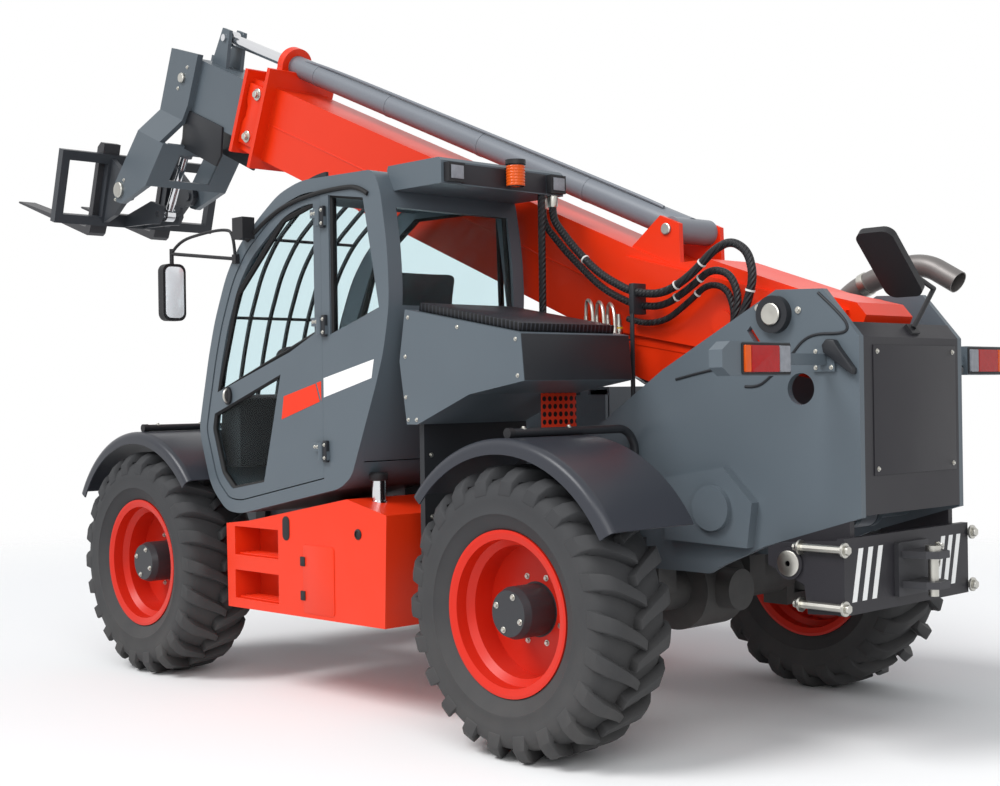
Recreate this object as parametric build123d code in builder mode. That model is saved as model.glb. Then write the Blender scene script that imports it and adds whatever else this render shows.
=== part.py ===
from build123d import *
import os
from math import cos, hypot, radians, sin, tan

os.makedirs("parts", exist_ok=True)

# Sizes in millimetres. X runs forward, Y to the left and Z up from the ground.
# Side outlines are pairs of (distance ahead of the rear axle, height).
wheelbase = 2800
track = 2020
tyre_radius = 585
tyre_width = 400
rear_axle_x = -2370
hub_height = 585
seat_radius = 305
rim_half = 167
kingpin_inset = 210
hub_radius = 105
spindle_radius = 60
running_gap = 0.05

frame_half = 376
frame_wall = 30
frame_low = 700

pivot_x = -735
pivot_z = 1750
boom_angle = 22.8
pivot_pin_radius = 45
boom_half = 170
boom_top = -35
boom_bottom = -465
boom_front = 4240
boom_wall = 12
inner_half = 130
inner_top = -75
inner_bottom = -425
inner_rear = 1000
inner_front = 4920
pad_gap = 0.05
ram_height = 100
ram_barrel_radius = 62
ram_rod_radius = 35
lift_base = (-850, 950)
lift_eye = (1000, -580)
carriage_pin = (5270, -1050)
carriage_angle = 17
carriage_half = 600
fork_gauge = 245
fork_length = 1085
tilt_base = (4990, -220)
tilt_crank = (-144, -116)

cab_out = 1080
cab_in = 250
cab_wall = 50
door_gap = 6
door_rear = 1300
hinge_out = 16
hinge_heights = (1199, 1777, 2278)

tank_out = 1090
tank_inner = 560
hood_top = 1480
hood_axis_z = 1456
hood_rear = 870
wheel_room = tyre_radius + 120

front_axle_x = rear_axle_x + wheelbase
axle_frame = (rear_axle_x, 0)
boom_frame = (rear_axle_x + pivot_x, pivot_z)
wheel_out = track / 2
kingpin_out = wheel_out - kingpin_inset
front_shift = wheelbase - 2800 - (wheel_room - 705)
hood_front = wheelbase - wheel_room - 15
hood_axis_y = -frame_half - 10


def side_plane(at, tilt, y):
    turn = radians(tilt)
    return Plane(origin=(at[0], y, at[1]), x_dir=(cos(turn), 0, sin(turn)), z_dir=(0, -1, 0))


def side(points, low, high, at=axle_frame, tilt=0, mode=Mode.ADD):
    with BuildSketch(side_plane(at, tilt, high)) as outline:
        with BuildLine():
            Polyline(*points, close=True)
        make_face()
    extrude(outline.sketch, amount=high - low, mode=mode)


def disc(centre, radius, low, high, at=axle_frame, tilt=0, mode=Mode.ADD):
    with BuildSketch(side_plane(at, tilt, high)) as outline:
        with Locations(centre):
            Circle(radius)
    extrude(outline.sketch, amount=high - low, mode=mode)


def block(x_pair, y_pair, z_pair, mode=Mode.ADD):
    with BuildSketch(Plane.XY.offset(z_pair[0])) as outline:
        with Locations(((x_pair[0] + x_pair[1]) / 2, (y_pair[0] + y_pair[1]) / 2)):
            Rectangle(x_pair[1] - x_pair[0], y_pair[1] - y_pair[0])
    extrude(outline.sketch, amount=z_pair[1] - z_pair[0], mode=mode)


def rod(start, end, radius, mode=Mode.ADD):
    way = Vector(*end) - Vector(*start)
    with BuildSketch(Plane(origin=start, z_dir=way)) as outline:
        Circle(radius)
    extrude(outline.sketch, amount=way.length, mode=mode)


def local(at, tilt, point, y=0):
    turn = radians(tilt)
    x = at[0] + point[0] * cos(turn) - point[1] * sin(turn)
    z = at[1] + point[0] * sin(turn) + point[1] * cos(turn)
    return (x, y, z)


def corner_radii(points, share, largest, closed=True):
    radii = []
    count = len(points)
    corners = range(count) if closed else range(1, count - 1)
    for place in corners:
        into = Vector(*points[place]) - Vector(*points[place - 1])
        away = Vector(*points[(place + 1) % count]) - Vector(*points[place])
        turn = radians(into.get_angle(away))
        radii.append(min(largest, share * min(into.length, away.length) / tan(turn / 2)))
    return radii


def smooth_outline(points):
    FilletPolyline(*points, radius=corner_radii(points, 0.4, 1500), close=True)


def pipe(points, radius, share=0.45, mode=Mode.ADD):
    with BuildLine(mode=Mode.PRIVATE) as way:
        FilletPolyline(*points, radius=corner_radii(points, share, 1500, closed=False))
    start = way.wires()[0]
    with BuildSketch(Plane(origin=start @ 0, z_dir=start % 0)) as section:
        Circle(radius)
    sweep(section.sketch, path=start, mode=mode)


def boom_at(u, v, y=0):
    return local(boom_frame, boom_angle, (u, v), y)


def hand_span(low, high, hand):
    if hand > 0:
        return (low, high)
    return (-high, -low)


def boom_side(points, low, high, mode=Mode.ADD):
    side(points, low, high, boom_frame, boom_angle, mode)


def boom_disc(centre, radius, low, high, mode=Mode.ADD):
    disc(centre, radius, low, high, boom_frame, boom_angle, mode)


def boom_box(u_pair, v_pair, y_pair, mode=Mode.ADD):
    u_low, u_high = u_pair
    v_low, v_high = v_pair
    corners = [(u_low, v_low), (u_high, v_low), (u_high, v_high), (u_low, v_high)]
    boom_side(corners, y_pair[0], y_pair[1], mode)


carriage_point = boom_at(*carriage_pin)
carriage_frame = (carriage_point[0], carriage_point[2])


def carriage_side(points, low, high, mode=Mode.ADD):
    side(points, low, high, carriage_frame, carriage_angle, mode)


def carriage_box(a_pair, b_pair, y_pair, mode=Mode.ADD):
    a_low, a_high = a_pair
    b_low, b_high = b_pair
    corners = [(a_low, b_low), (a_high, b_low), (a_high, b_high), (a_low, b_high)]
    carriage_side(corners, y_pair[0], y_pair[1], mode)


# Main frame: two side plates, tall at the boom tower, with cross members and the ram trunnion
cross_half = frame_half - frame_wall
frame_top = 850
tower_outline = [
    (-1112, 965),
    (-668, 831),
    (-449, 737),
    (-380, frame_low),
    (300, frame_low),
    (420, frame_low - 100),
    (wheelbase - 550, frame_low - 100),
    (wheelbase - 420, frame_low),
    (wheelbase + 380, frame_low),
    (wheelbase + 480, frame_low + 70),
    (wheelbase + 480, frame_top - 40),
    (wheelbase + 420, frame_top),
    (980, frame_top),
    (330, 1240),
    (-148, 1545),
    (pivot_x, pivot_z + 98),
    (-953, 1840),
    (-1112, 1652),
]
tower_hole = (-847, 1455)
tower_slot = [(-668, 1630), (-650, 1612), (-592, 1692), (-610, 1710)]
cross_spans = ((230, 450), (wheelbase - 1300, wheelbase - 1050), (wheelbase + 215, wheelbase + 400))
wall_in = -frame_half - 20
valve_cover = [(-182, 1089), (-495, 1143), (-637, 1004), (-610, 822), (-184, 833)]
valve_cap = (-443, 976)
hose_end = 1420
hose_shelf = (rear_axle_x - 520, rear_axle_x - 390)
with BuildPart() as main_frame:
    for hand in (1, -1):
        low, high = hand_span(cross_half, frame_half, hand)
        side(tower_outline, low, high)
        disc(tower_hole, 62, low, high, mode=Mode.SUBTRACT)
        disc((pivot_x, pivot_z), pivot_pin_radius, low, high, mode=Mode.SUBTRACT)
        side(tower_slot, low, high, mode=Mode.SUBTRACT)
        low, high = hand_span(60, 90, hand)
        disc(lift_base, 62, low, high)
    disc(lift_base, 34, -cross_half, cross_half)
    side(valve_cover, frame_half, frame_half + 45)
    disc(valve_cap, 92, frame_half, frame_half + 70)
    block(hose_shelf, (cross_half - 130, cross_half), (1400, hose_end))
    for start, end in cross_spans:
        x_pair = (rear_axle_x + start, rear_axle_x + end)
        block(x_pair, (-cross_half, cross_half), (frame_low + 5, frame_low + 90))
    hood_span = (rear_axle_x + hood_rear, rear_axle_x + hood_front)
    block(hood_span, (wall_in, -frame_half), (frame_low + 40, 1440))
    for start in (hood_rear + 120, hood_front - 220):
        ends = (rear_axle_x + start, rear_axle_x + start + 50)
        block(ends, (wall_in, -frame_half), (1440, hood_axis_z))
        rod((ends[0], hood_axis_y, hood_axis_z), (ends[1], hood_axis_y, hood_axis_z), 10)
        rod((ends[0], hood_axis_y, hood_axis_z), (ends[1] + 50, hood_axis_y, hood_axis_z), 5)
main_frame.part.label = "main_frame"
export_step(main_frame.part, "parts/main_frame.step")

# Boom pivot pin with its end caps
with BuildPart() as pivot_pin:
    disc((pivot_x, pivot_z), pivot_pin_radius, -frame_half - 40, frame_half + 40)
    for hand in (1, -1):
        low, high = hand_span(frame_half, frame_half + 34, hand)
        disc((pivot_x, pivot_z), 74, low, high)
pivot_pin.part.label = "boom_pivot_pin"
export_step(pivot_pin.part, "parts/boom_pivot_pin.step")

# Rear panel between the tower plates, folded forward along its top
with BuildPart() as rear_panel:
    panel_outline = [(-1112, 972), (-1112, 1650), (-1066, 1708), (-1054, 1698), (-1097, 1644), (-1097, 972)]
    side(panel_outline, -cross_half, cross_half)
rear_panel.part.label = "rear_panel"
export_step(rear_panel.part, "parts/rear_panel.step")

# Hitch: striped rear plate, side cheeks with lifting eyes and ribs up to the tower
eye_place = (-840, 783)


def tower_edge(x):
    return 965 + (x + 1112) * (831 - 965) / (-668 + 1112)


hitch_half = 455
with BuildPart() as hitch_plate:
    block((rear_axle_x - 1085, rear_axle_x - 1055), (-hitch_half, hitch_half), (600, 890))
    for hand in (1, -1):
        low, high = hand_span(hitch_half - 28, hitch_half, hand)
        cheek = [(-1058, 881), (-1058, 603), (-920, 594), (-905, 706), (-738, 770), (-738, 840), (-800, 860)]
        side(cheek, low, high)
        low, high = hand_span(hitch_half - 28, hitch_half + 10, hand)
        disc(eye_place, 62, low, high)
        disc(eye_place, 25, low - 20, high + 20, mode=Mode.SUBTRACT)
        rib_low, rib_high = hand_span(frame_half - frame_wall, frame_half, hand)
        rib = [(-1060, tower_edge(-1060)), (-740, tower_edge(-740)), (-740, 790), (-920, 620), (-1060, 620)]
        side(rib, rib_low, rib_high)
        web_low, web_high = hand_span(frame_half, hitch_half - 28, hand)
        side([(-1060, 840), (-1060, 815), (-760, 815), (-760, 840)], web_low, web_high)
hitch_plate.part.label = "hitch_plate"
export_step(hitch_plate.part, "parts/hitch_plate.step")

# Tow jaw: two lugs on a flange, and the loose pin through them
with BuildPart() as tow_jaw:
    block((rear_axle_x - 1105, rear_axle_x - 1085), (-110, 110), (640, 850))
    for low in (672, 790):
        with BuildSketch(Plane.XY.offset(low)) as lug:
            with BuildLine():
                Polyline(
                    (rear_axle_x - 1105, -85),
                    (rear_axle_x - 1105, 85),
                    (rear_axle_x - 1200, 70),
                    (rear_axle_x - 1240, 38),
                    (rear_axle_x - 1240, -38),
                    (rear_axle_x - 1200, -70),
                    close=True,
                )
            make_face()
            with Locations((rear_axle_x - 1190, 0)):
                Circle(20, mode=Mode.SUBTRACT)
        extrude(lug.sketch, amount=28)
tow_jaw.part.label = "tow_jaw"
export_step(tow_jaw.part, "parts/tow_jaw.step")

with BuildPart() as tow_pin:
    rod((rear_axle_x - 1190, 0, 640), (rear_axle_x - 1190, 0, 818), 20)
    rod((rear_axle_x - 1190, 0, 818), (rear_axle_x - 1190, 0, 838), 30)
tow_pin.part.label = "tow_pin"
export_step(tow_pin.part, "parts/tow_pin.step")

# Axles: housing, differential, frame pads and the yokes that hold the kingpins
for name, axle_x in (("front_axle", front_axle_x), ("rear_axle", rear_axle_x)):
    with BuildPart() as axle:
        rod((axle_x, -kingpin_out + 150, hub_height), (axle_x, kingpin_out - 150, hub_height), 92)
        rod((axle_x, -140, hub_height), (axle_x, 140, hub_height), 185)
        rod((axle_x - 260, 0, hub_height), (axle_x, 0, hub_height), 90)
        for hand in (1, -1):
            low, high = hand_span(260, frame_half, hand)
            block((axle_x - 110, axle_x + 110), (low, high), (hub_height, frame_low))
            low, high = hand_span(kingpin_out - 200, kingpin_out - 140, hand)
            block((axle_x - 68, axle_x + 68), (low, high), (hub_height - 150, hub_height + 150))
            for ear_low in (hub_height - 150, hub_height + 100):
                low, high = hand_span(kingpin_out - 150, kingpin_out, hand)
                block((axle_x - 62, axle_x + 62), (low, high), (ear_low, ear_low + 50))
                centre = (axle_x, hand * kingpin_out, ear_low)
                rod(centre, (centre[0], centre[1], ear_low + 50), 62)
                drill = 30 + running_gap
                rod(centre, (centre[0], centre[1], ear_low + 50), drill, mode=Mode.SUBTRACT)
    axle.part.label = name
    export_step(axle.part, f"parts/{name}.step")

corners = (
    ("front_left", front_axle_x, 1),
    ("front_right", front_axle_x, -1),
    ("rear_left", rear_axle_x, 1),
    ("rear_right", rear_axle_x, -1),
)

# Knuckles: kingpin body, spindle and steering arm
for place, axle_x, hand in corners:
    pin_y = hand * kingpin_out
    with BuildPart() as knuckle:
        rod((axle_x, pin_y, hub_height - 150), (axle_x, pin_y, hub_height + 150), 30)
        rod((axle_x, pin_y, hub_height - 95), (axle_x, pin_y, hub_height + 95), 72)
        rod((axle_x, pin_y, hub_height), (axle_x, hand * (wheel_out - 55), hub_height), 90)
        rod((axle_x, pin_y, hub_height), (axle_x, hand * (wheel_out + 80), hub_height), spindle_radius)
        low, high = hand_span(kingpin_out - 45, kingpin_out - 5, hand)
        block((axle_x - 170, axle_x), (low, high), (hub_height - 20, hub_height + 20))
    knuckle.part.label = f"{place}_knuckle"
    export_step(knuckle.part, f"parts/{place}_knuckle.step")

# Wheels: drop-centre rim, flat disc and the planetary hub that runs on the spindle
rim_outline = [
    (rim_half, seat_radius + 27),
    (rim_half - 12, seat_radius + 27),
    (rim_half - 12, seat_radius),
    (104, seat_radius),
    (80, seat_radius - 27),
    (-80, seat_radius - 27),
    (-104, seat_radius),
    (12 - rim_half, seat_radius),
    (12 - rim_half, seat_radius + 27),
    (-rim_half, seat_radius + 27),
    (-rim_half, seat_radius + 15),
    (7 - rim_half, seat_radius - 11),
    (-108, seat_radius - 13),
    (-84, seat_radius - 40),
    (84, seat_radius - 40),
    (108, seat_radius - 13),
    (rim_half - 7, seat_radius - 11),
    (rim_half, seat_radius + 15),
]
disc_outline = [
    (-30, hub_radius - 5),
    (-12, hub_radius - 5),
    (-12, seat_radius - 30),
    (-30, seat_radius - 30),
]
hub_outline = [
    (-50, spindle_radius + running_gap),
    (-50, hub_radius + 65),
    (-30, hub_radius + 65),
    (-30, hub_radius),
    (120, hub_radius),
    (150, hub_radius - 13),
    (150, 0),
    (85, 0),
    (85, spindle_radius + running_gap),
]
for place, axle_x, hand in corners:
    wheel_plane = Plane(
        origin=(axle_x, hand * wheel_out, hub_height), x_dir=(0, hand, 0), z_dir=(hand, 0, 0)
    )
    with BuildPart() as rim:
        for outline in (rim_outline, disc_outline, hub_outline):
            with BuildSketch(wheel_plane) as section:
                with BuildLine():
                    Polyline(*outline, close=True)
                make_face()
            revolve(section.sketch, axis=Axis((axle_x, 0, hub_height), (0, 1, 0)))
    rim.part.label = f"{place}_rim"
    export_step(rim.part, f"parts/{place}_rim.step")

# Tyres: hollow carcass seated on the rim
bulge = tyre_width / 2
bead = rim_half - 12
tyre_half = [
    (bead, seat_radius),
    (bead, seat_radius + 27),
    (bulge - 22, seat_radius + 50),
    (bulge - 5, seat_radius + 105),
    (bulge, tyre_radius - 120),
    (bulge - 6, tyre_radius - 65),
    (bulge - 22, tyre_radius - 27),
    (bulge - 50, tyre_radius - 10),
    (bulge - 100, tyre_radius),
]
tyre_inner = [
    (bulge - 80, tyre_radius - 33),
    (bulge - 40, tyre_radius - 55),
    (bulge - 24, tyre_radius - 115),
    (bulge - 28, seat_radius + 105),
    (bulge - 50, seat_radius + 47),
    (128, seat_radius + 25),
    (110, seat_radius),
]
tyre_outline = tyre_half + [(-w, r) for w, r in reversed(tyre_half)]
tyre_outline += [(-w, r) for w, r in reversed(tyre_inner)] + tyre_inner
for place, axle_x, hand in corners:
    wheel_plane = Plane(
        origin=(axle_x, hand * wheel_out, hub_height), x_dir=(0, hand, 0), z_dir=(hand, 0, 0)
    )
    with BuildPart() as tyre:
        with BuildSketch(wheel_plane) as section:
            with BuildLine():
                Polyline(*tyre_outline, close=True)
            make_face()
        revolve(section.sketch, axis=Axis((axle_x, 0, hub_height), (0, 1, 0)))
    tyre.part.label = f"{place}_tyre"
    export_step(tyre.part, f"parts/{place}_tyre.step")

# Mudguards: curved strips over the tyres with a rolled outer lip
guard_inner = tyre_radius + 100
guard_wall = 8
guard_in = wheel_out - 280
guard_outer = wheel_out + 198
guard_roll = 34
guard_lip = 55
guard_sweep = 108
with BuildPart() as mudguards:
    for place, axle_x, hand in corners:
        turn = radians(31 if axle_x == front_axle_x else 41)
        radial_plane = Plane(
            origin=(axle_x, 0, hub_height), x_dir=(0, 1, 0), z_dir=(sin(turn), 0, -cos(turn))
        )
        guard_top = guard_inner + guard_wall
        roll_y = hand * (guard_outer - guard_roll)
        lip_y = hand * (guard_outer - guard_wall)
        with BuildSketch(radial_plane) as section:
            with BuildLine():
                inner_edge = Line((hand * guard_in, guard_inner), (hand * guard_in, guard_top))
                crown = Line(inner_edge @ 1, (roll_y, guard_top))
                roll_end = (hand * guard_outer, guard_top - guard_roll)
                outer_roll = TangentArc(crown @ 1, roll_end, tangent=crown % 1)
                skirt = Line(outer_roll @ 1, (hand * guard_outer, guard_inner - guard_lip))
                hem = Line(skirt @ 1, (lip_y, guard_inner - guard_lip))
                skirt_back = Line(hem @ 1, (lip_y, guard_top - guard_roll))
                under_roll = TangentArc(skirt_back @ 1, (roll_y, guard_inner), tangent=skirt_back % 1)
                Line(under_roll @ 1, inner_edge @ 0)
            make_face()
        axle_line = Axis((axle_x, 0, hub_height), (0, -1, 0))
        revolve(section.sketch, axis=axle_line, revolution_arc=guard_sweep)
mudguards.part.label = "mudguards"
export_step(mudguards.part, "parts/mudguards.step")

# Cab side outline, from the roof's rear corner clockwise round the curved front
cab_outline = [
    (909, 2455),
    (1448 + front_shift, 2467),
    (1630 + front_shift, 2422),
    (1771 + front_shift, 2340),
    (1957 + front_shift, 2219),
    (2087 + front_shift, 2070),
    (2201 + front_shift, 1839),
    (2260 + front_shift, 1662),
    (2322 + front_shift, 1434),
    (2359 + front_shift, 1289),
    (2256 + front_shift, 1002),
    (2119 + front_shift, 888),
    (1992 + front_shift, 877),
    (1183, 1030),
    (1094, 1086),
    (1004, 1289),
    (915, 1489),
    (854, 1644),
    (808, 1859),
    (818, 2108),
    (862, 2361),
]


def cab_face(inset, low, high, mode=Mode.ADD):
    with BuildSketch(side_plane(axle_frame, 0, high)) as outline:
        with BuildLine():
            smooth_outline(cab_outline)
        make_face()
        if inset:
            offset(amount=-inset, kind=Kind.INTERSECTION, mode=Mode.REPLACE)
    extrude(outline.sketch, amount=high - low, mode=mode)


def cab_band(region, wall, low, high):
    cab_face(0, low, high)
    cab_face(wall, low, high, mode=Mode.SUBTRACT)
    side(region, low, high, mode=Mode.INTERSECT)


band_low = cab_in + 40
band_high = cab_out - cab_wall
front_end = 2700 + front_shift
sill_rear = (600, 1100)
sill_front = (front_end, 1330)
roof_rear = (600, 2330)
with BuildPart() as cab_floor:
    cab_band([(600, 700), (front_end, 700), sill_front, sill_rear], 40, band_low, band_high)
    side([(1180, 1060), (1460, 1010), (1440, 1380), (1200, 1380)], 520, 800)
cab_floor.part.label = "cab_floor"
export_step(cab_floor.part, "parts/cab_floor.step")

rear_glass = [(700, 1850), (1000, 1850), (1000, 2285), (700, 2285)]
glass_low = band_low + 30
glass_high = band_high - 30
with BuildPart() as cab_rear:
    cab_band([sill_rear, (1260, 1180), (1260, 2330), roof_rear], 40, band_low, band_high)
    side(rear_glass, glass_low, glass_high, mode=Mode.SUBTRACT)
cab_rear.part.label = "cab_rear_wall"
export_step(cab_rear.part, "parts/cab_rear_wall.step")

roof_split = (1560 + front_shift, 2330)
roof_peak = (1560 + front_shift, 2600)
with BuildPart() as cab_roof:
    cab_band([roof_rear, roof_split, roof_peak, (600, 2600)], 60, band_low, band_high)
cab_roof.part.label = "cab_roof"
export_step(cab_roof.part, "parts/cab_roof.step")

with BuildPart() as windscreen:
    sill_mid = (1560 + front_shift, 1100 + 230 * (960 + front_shift) / (2100 + front_shift))
    cab_band([roof_peak, (front_end, 2600), sill_front, sill_mid], 10, band_low, band_high)
windscreen.part.label = "windscreen"
export_step(windscreen.part, "parts/windscreen.step")

# Cab sides: the left one holds the door, the right one a large window
window_rear = [(1240, 2375), (985, 2338), (880, 1840), (1240, 1735)]
opening = [(door_rear, 800), (front_end, 800), (front_end, 2600), (door_rear, 2600)]
with BuildPart() as cab_left:
    cab_face(0, cab_out - cab_wall, cab_out)
    with BuildSketch(side_plane(axle_frame, 0, cab_out)) as doorway:
        with BuildLine():
            smooth_outline(cab_outline)
        make_face()
        offset(amount=-62, kind=Kind.INTERSECTION, mode=Mode.REPLACE)
        with BuildLine():
            Polyline(*opening, close=True)
        make_face(mode=Mode.INTERSECT)
    extrude(doorway.sketch, amount=cab_wall, mode=Mode.SUBTRACT)
    side(window_rear, cab_out - cab_wall, cab_out, mode=Mode.SUBTRACT)
    for height in hinge_heights:
        axis_y = cab_out + hinge_out
        ear_span = (rear_axle_x + door_rear - 46, rear_axle_x + door_rear)
        block(ear_span, (cab_out, axis_y), (height - 40, height))
        pin_at = (rear_axle_x + door_rear, axis_y)
        rod((pin_at[0], pin_at[1], height - 40), (pin_at[0], pin_at[1], height), 14)
        rod((pin_at[0], pin_at[1], height - 40), (pin_at[0], pin_at[1], height + 40), 7)
cab_left.part.label = "cab_left_side"
export_step(cab_left.part, "parts/cab_left_side.step")

right_window = [
    (960, 2340),
    (1560 + front_shift, 2350),
    (1900 + front_shift, 2140),
    (2130 + front_shift, 1700),
    (2200 + front_shift, 1420),
    (940, 1640),
    (890, 1860),
]
with BuildPart() as cab_right:
    cab_face(0, cab_in, cab_in + 40)
    side(right_window, cab_in, cab_in + 40, mode=Mode.SUBTRACT)
cab_right.part.label = "cab_right_side"
export_step(cab_right.part, "parts/cab_right_side.step")

# Fixed panes
with BuildPart() as cab_panes:
    cab_face(16, glass_low, glass_high)
    cab_face(24, glass_low, glass_high, mode=Mode.SUBTRACT)
    side(rear_glass, glass_low, glass_high, mode=Mode.INTERSECT)
    side(window_rear, cab_out - 34, cab_out - 26)
    side(right_window, cab_in + 16, cab_in + 24)
cab_panes.part.label = "cab_panes"
export_step(cab_panes.part, "parts/cab_panes.step")

# Cab door, hinged on its rear edge, with an upper and a lower pane
door_zone = [
    (door_rear + door_gap, 800),
    (front_end, 800),
    (front_end, 2600),
    (door_rear + door_gap, 2600),
]
door_low = cab_out - 45
door_high = cab_out - 4


def door_shape(inset, low, high, mode=Mode.ADD):
    with BuildSketch(side_plane(axle_frame, 0, high)) as outline:
        with BuildLine():
            smooth_outline(cab_outline)
        make_face()
        offset(amount=-62 - inset, kind=Kind.INTERSECTION, mode=Mode.REPLACE)
        with BuildLine():
            Polyline(*door_zone, close=True)
        make_face(mode=Mode.INTERSECT)
    extrude(outline.sketch, amount=high - low, mode=mode)


upper_zone = [
    (door_rear + 62, 1745),
    (1560 + front_shift, 1665),
    (front_end, 1330),
    (front_end, 2600),
    (door_rear + 62, 2600),
]
lower_zone = [(1640 + front_shift, 1560), (1790 + front_shift, 1040), (front_end, 900), (front_end, 1215)]
with BuildPart() as upper_cut:
    door_shape(door_gap + 48, door_low - 10, door_high + 10)
    side(upper_zone, door_low - 10, door_high + 10, mode=Mode.INTERSECT)
with BuildPart() as lower_cut:
    door_shape(door_gap + 48, door_low - 10, door_high + 10)
    side(lower_zone, door_low - 10, door_high + 10, mode=Mode.INTERSECT)
with BuildPart() as cab_door:
    door_shape(door_gap, door_low, door_high)
    add(upper_cut.part, mode=Mode.SUBTRACT)
    add(lower_cut.part, mode=Mode.SUBTRACT)
    for height in hinge_heights:
        axis_y = cab_out + hinge_out
        pin_at = (rear_axle_x + door_rear, axis_y)
        block((pin_at[0], pin_at[0] + 60), (door_high, axis_y), (height, height + 40))
        rod((pin_at[0], pin_at[1], height), (pin_at[0], pin_at[1], height + 40), 14)
        drill = 7 + running_gap
        rod((pin_at[0], pin_at[1], height), (pin_at[0], pin_at[1], height + 40), drill, mode=Mode.SUBTRACT)
cab_door.part.label = "cab_door"
export_step(cab_door.part, "parts/cab_door.step")

with BuildPart() as door_panes:
    for zone in (upper_zone, lower_zone):
        with BuildSketch(side_plane(axle_frame, 0, cab_out - 20)) as outline:
            with BuildLine():
                smooth_outline(cab_outline)
            make_face()
            offset(amount=-62 - door_gap - 48, kind=Kind.INTERSECTION, mode=Mode.REPLACE)
            with BuildLine():
                Polyline(*zone, close=True)
            make_face(mode=Mode.INTERSECT)
            with BuildLine():
                Polyline(*door_zone, close=True)
            make_face(mode=Mode.INTERSECT)
        extrude(outline.sketch, amount=8)
door_panes.part.label = "cab_door_panes"
export_step(door_panes.part, "parts/cab_door_panes.step")

# Screen guard: curved bars in front of the windscreen, on feet at the roof and the sill
guard_gap = 30
guard_bar = 16
guard_region = [
    (1400 + front_shift, 2700),
    (1400 + front_shift, 2440),
    (1900 + front_shift, 1150),
    (front_end, 1150),
    (front_end, 2700),
]
roof_foot = [
    (1400 + front_shift, 2700),
    (1440 + front_shift, 2700),
    (1440 + front_shift, 2400),
    (1400 + front_shift, 2400),
]
sill_foot = [(1900 + front_shift, 1150), (front_end, 1150), (front_end, 1190), (1900 + front_shift, 1190)]
guard_ties = ((1640, 2418), (1960, 2217), (2200, 1842))
guard_count = 6
guard_low = band_low + 60
guard_high = band_high - 60
guard_pitch = (guard_high - guard_low - guard_bar) / (guard_count - 1)
guard_reach = (rear_axle_x + 1300 + front_shift, rear_axle_x + front_end)
with BuildPart() as guard_feet:
    cab_face(-guard_gap, guard_low, guard_high)
    cab_face(0, guard_low, guard_high, mode=Mode.SUBTRACT)
    with BuildSketch(side_plane(axle_frame, 0, guard_high)) as feet:
        for foot in (roof_foot, sill_foot):
            with BuildLine():
                Polyline(*foot, close=True)
            make_face()
    extrude(feet.sketch, amount=guard_high - guard_low, mode=Mode.INTERSECT)
with BuildPart() as screen_guard:
    cab_face(-guard_gap - guard_bar, guard_low, guard_high)
    cab_face(-guard_gap, guard_low, guard_high, mode=Mode.SUBTRACT)
    side(guard_region, guard_low, guard_high, mode=Mode.INTERSECT)
    add(guard_feet.part)
    for number in range(guard_count - 1):
        gap_low = guard_low + number * guard_pitch + guard_bar
        block(guard_reach, (gap_low, gap_low + guard_pitch - guard_bar), (1000, 2700), mode=Mode.SUBTRACT)
    for x, z in guard_ties:
        way = Vector(x - 1200, z - 1200).normalized() * (guard_gap + guard_bar / 2)
        tie = (rear_axle_x + x + front_shift + way.X, z + way.Y)
        rod((tie[0], guard_low, tie[1]), (tie[0], guard_high, tie[1]), guard_bar / 2)
screen_guard.part.label = "screen_guard"
export_step(screen_guard.part, "parts/screen_guard.step")

# Light box over the rear window, with its lamps and beacon
with BuildPart() as light_box:
    side([(543, 2361), (862, 2361), (909, 2455), (900, 2474), (560, 2474), (543, 2460)], 250, 1000)
light_box.part.label = "light_box"
export_step(light_box.part, "parts/light_box.step")

with BuildPart() as lamps:
    for low in (265, 890):
        block((rear_axle_x + 510, rear_axle_x + 543), (low, low + 95), (2368, 2450))
    lamp_x = rear_axle_x + 1880 + front_shift
    block((lamp_x - 45, lamp_x + 45), (cab_out, cab_out + 70), (2225, 2330))
lamps.part.label = "work_lamps"
export_step(lamps.part, "parts/work_lamps.step")

beacon_place = (rear_axle_x + 495, 602)
with BuildPart() as beacon:
    rod((*beacon_place, 2372), (*beacon_place, 2470), 40)
    rod((*beacon_place, 2470), (*beacon_place, 2490), 46)
    block((beacon_place[0], rear_axle_x + 543), (beacon_place[1] - 20, beacon_place[1] + 20), (2440, 2458))
beacon.part.label = "beacon"
export_step(beacon.part, "parts/beacon.step")

# Cooling box behind the cab on its bulkhead
cooler_outline = [(739, 1826), (20, 1696), (2, 1504), (331, 1452), (664, 1325), (735, 1325), (780, 1600)]
with BuildPart() as cooler:
    side(cooler_outline, 400, 1050)
    side([(700, 1830), (60, 1714), (64, 1692), (704, 1808)], 440, 1010, mode=Mode.SUBTRACT)
cooler.part.label = "cooling_box"
export_step(cooler.part, "parts/cooling_box.step")

with BuildPart() as bulkhead:
    block((rear_axle_x + 680, rear_axle_x + 710), (frame_half, 1000), (frame_low + 40, 1325))
bulkhead.part.label = "bulkhead"
export_step(bulkhead.part, "parts/bulkhead.step")

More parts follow.
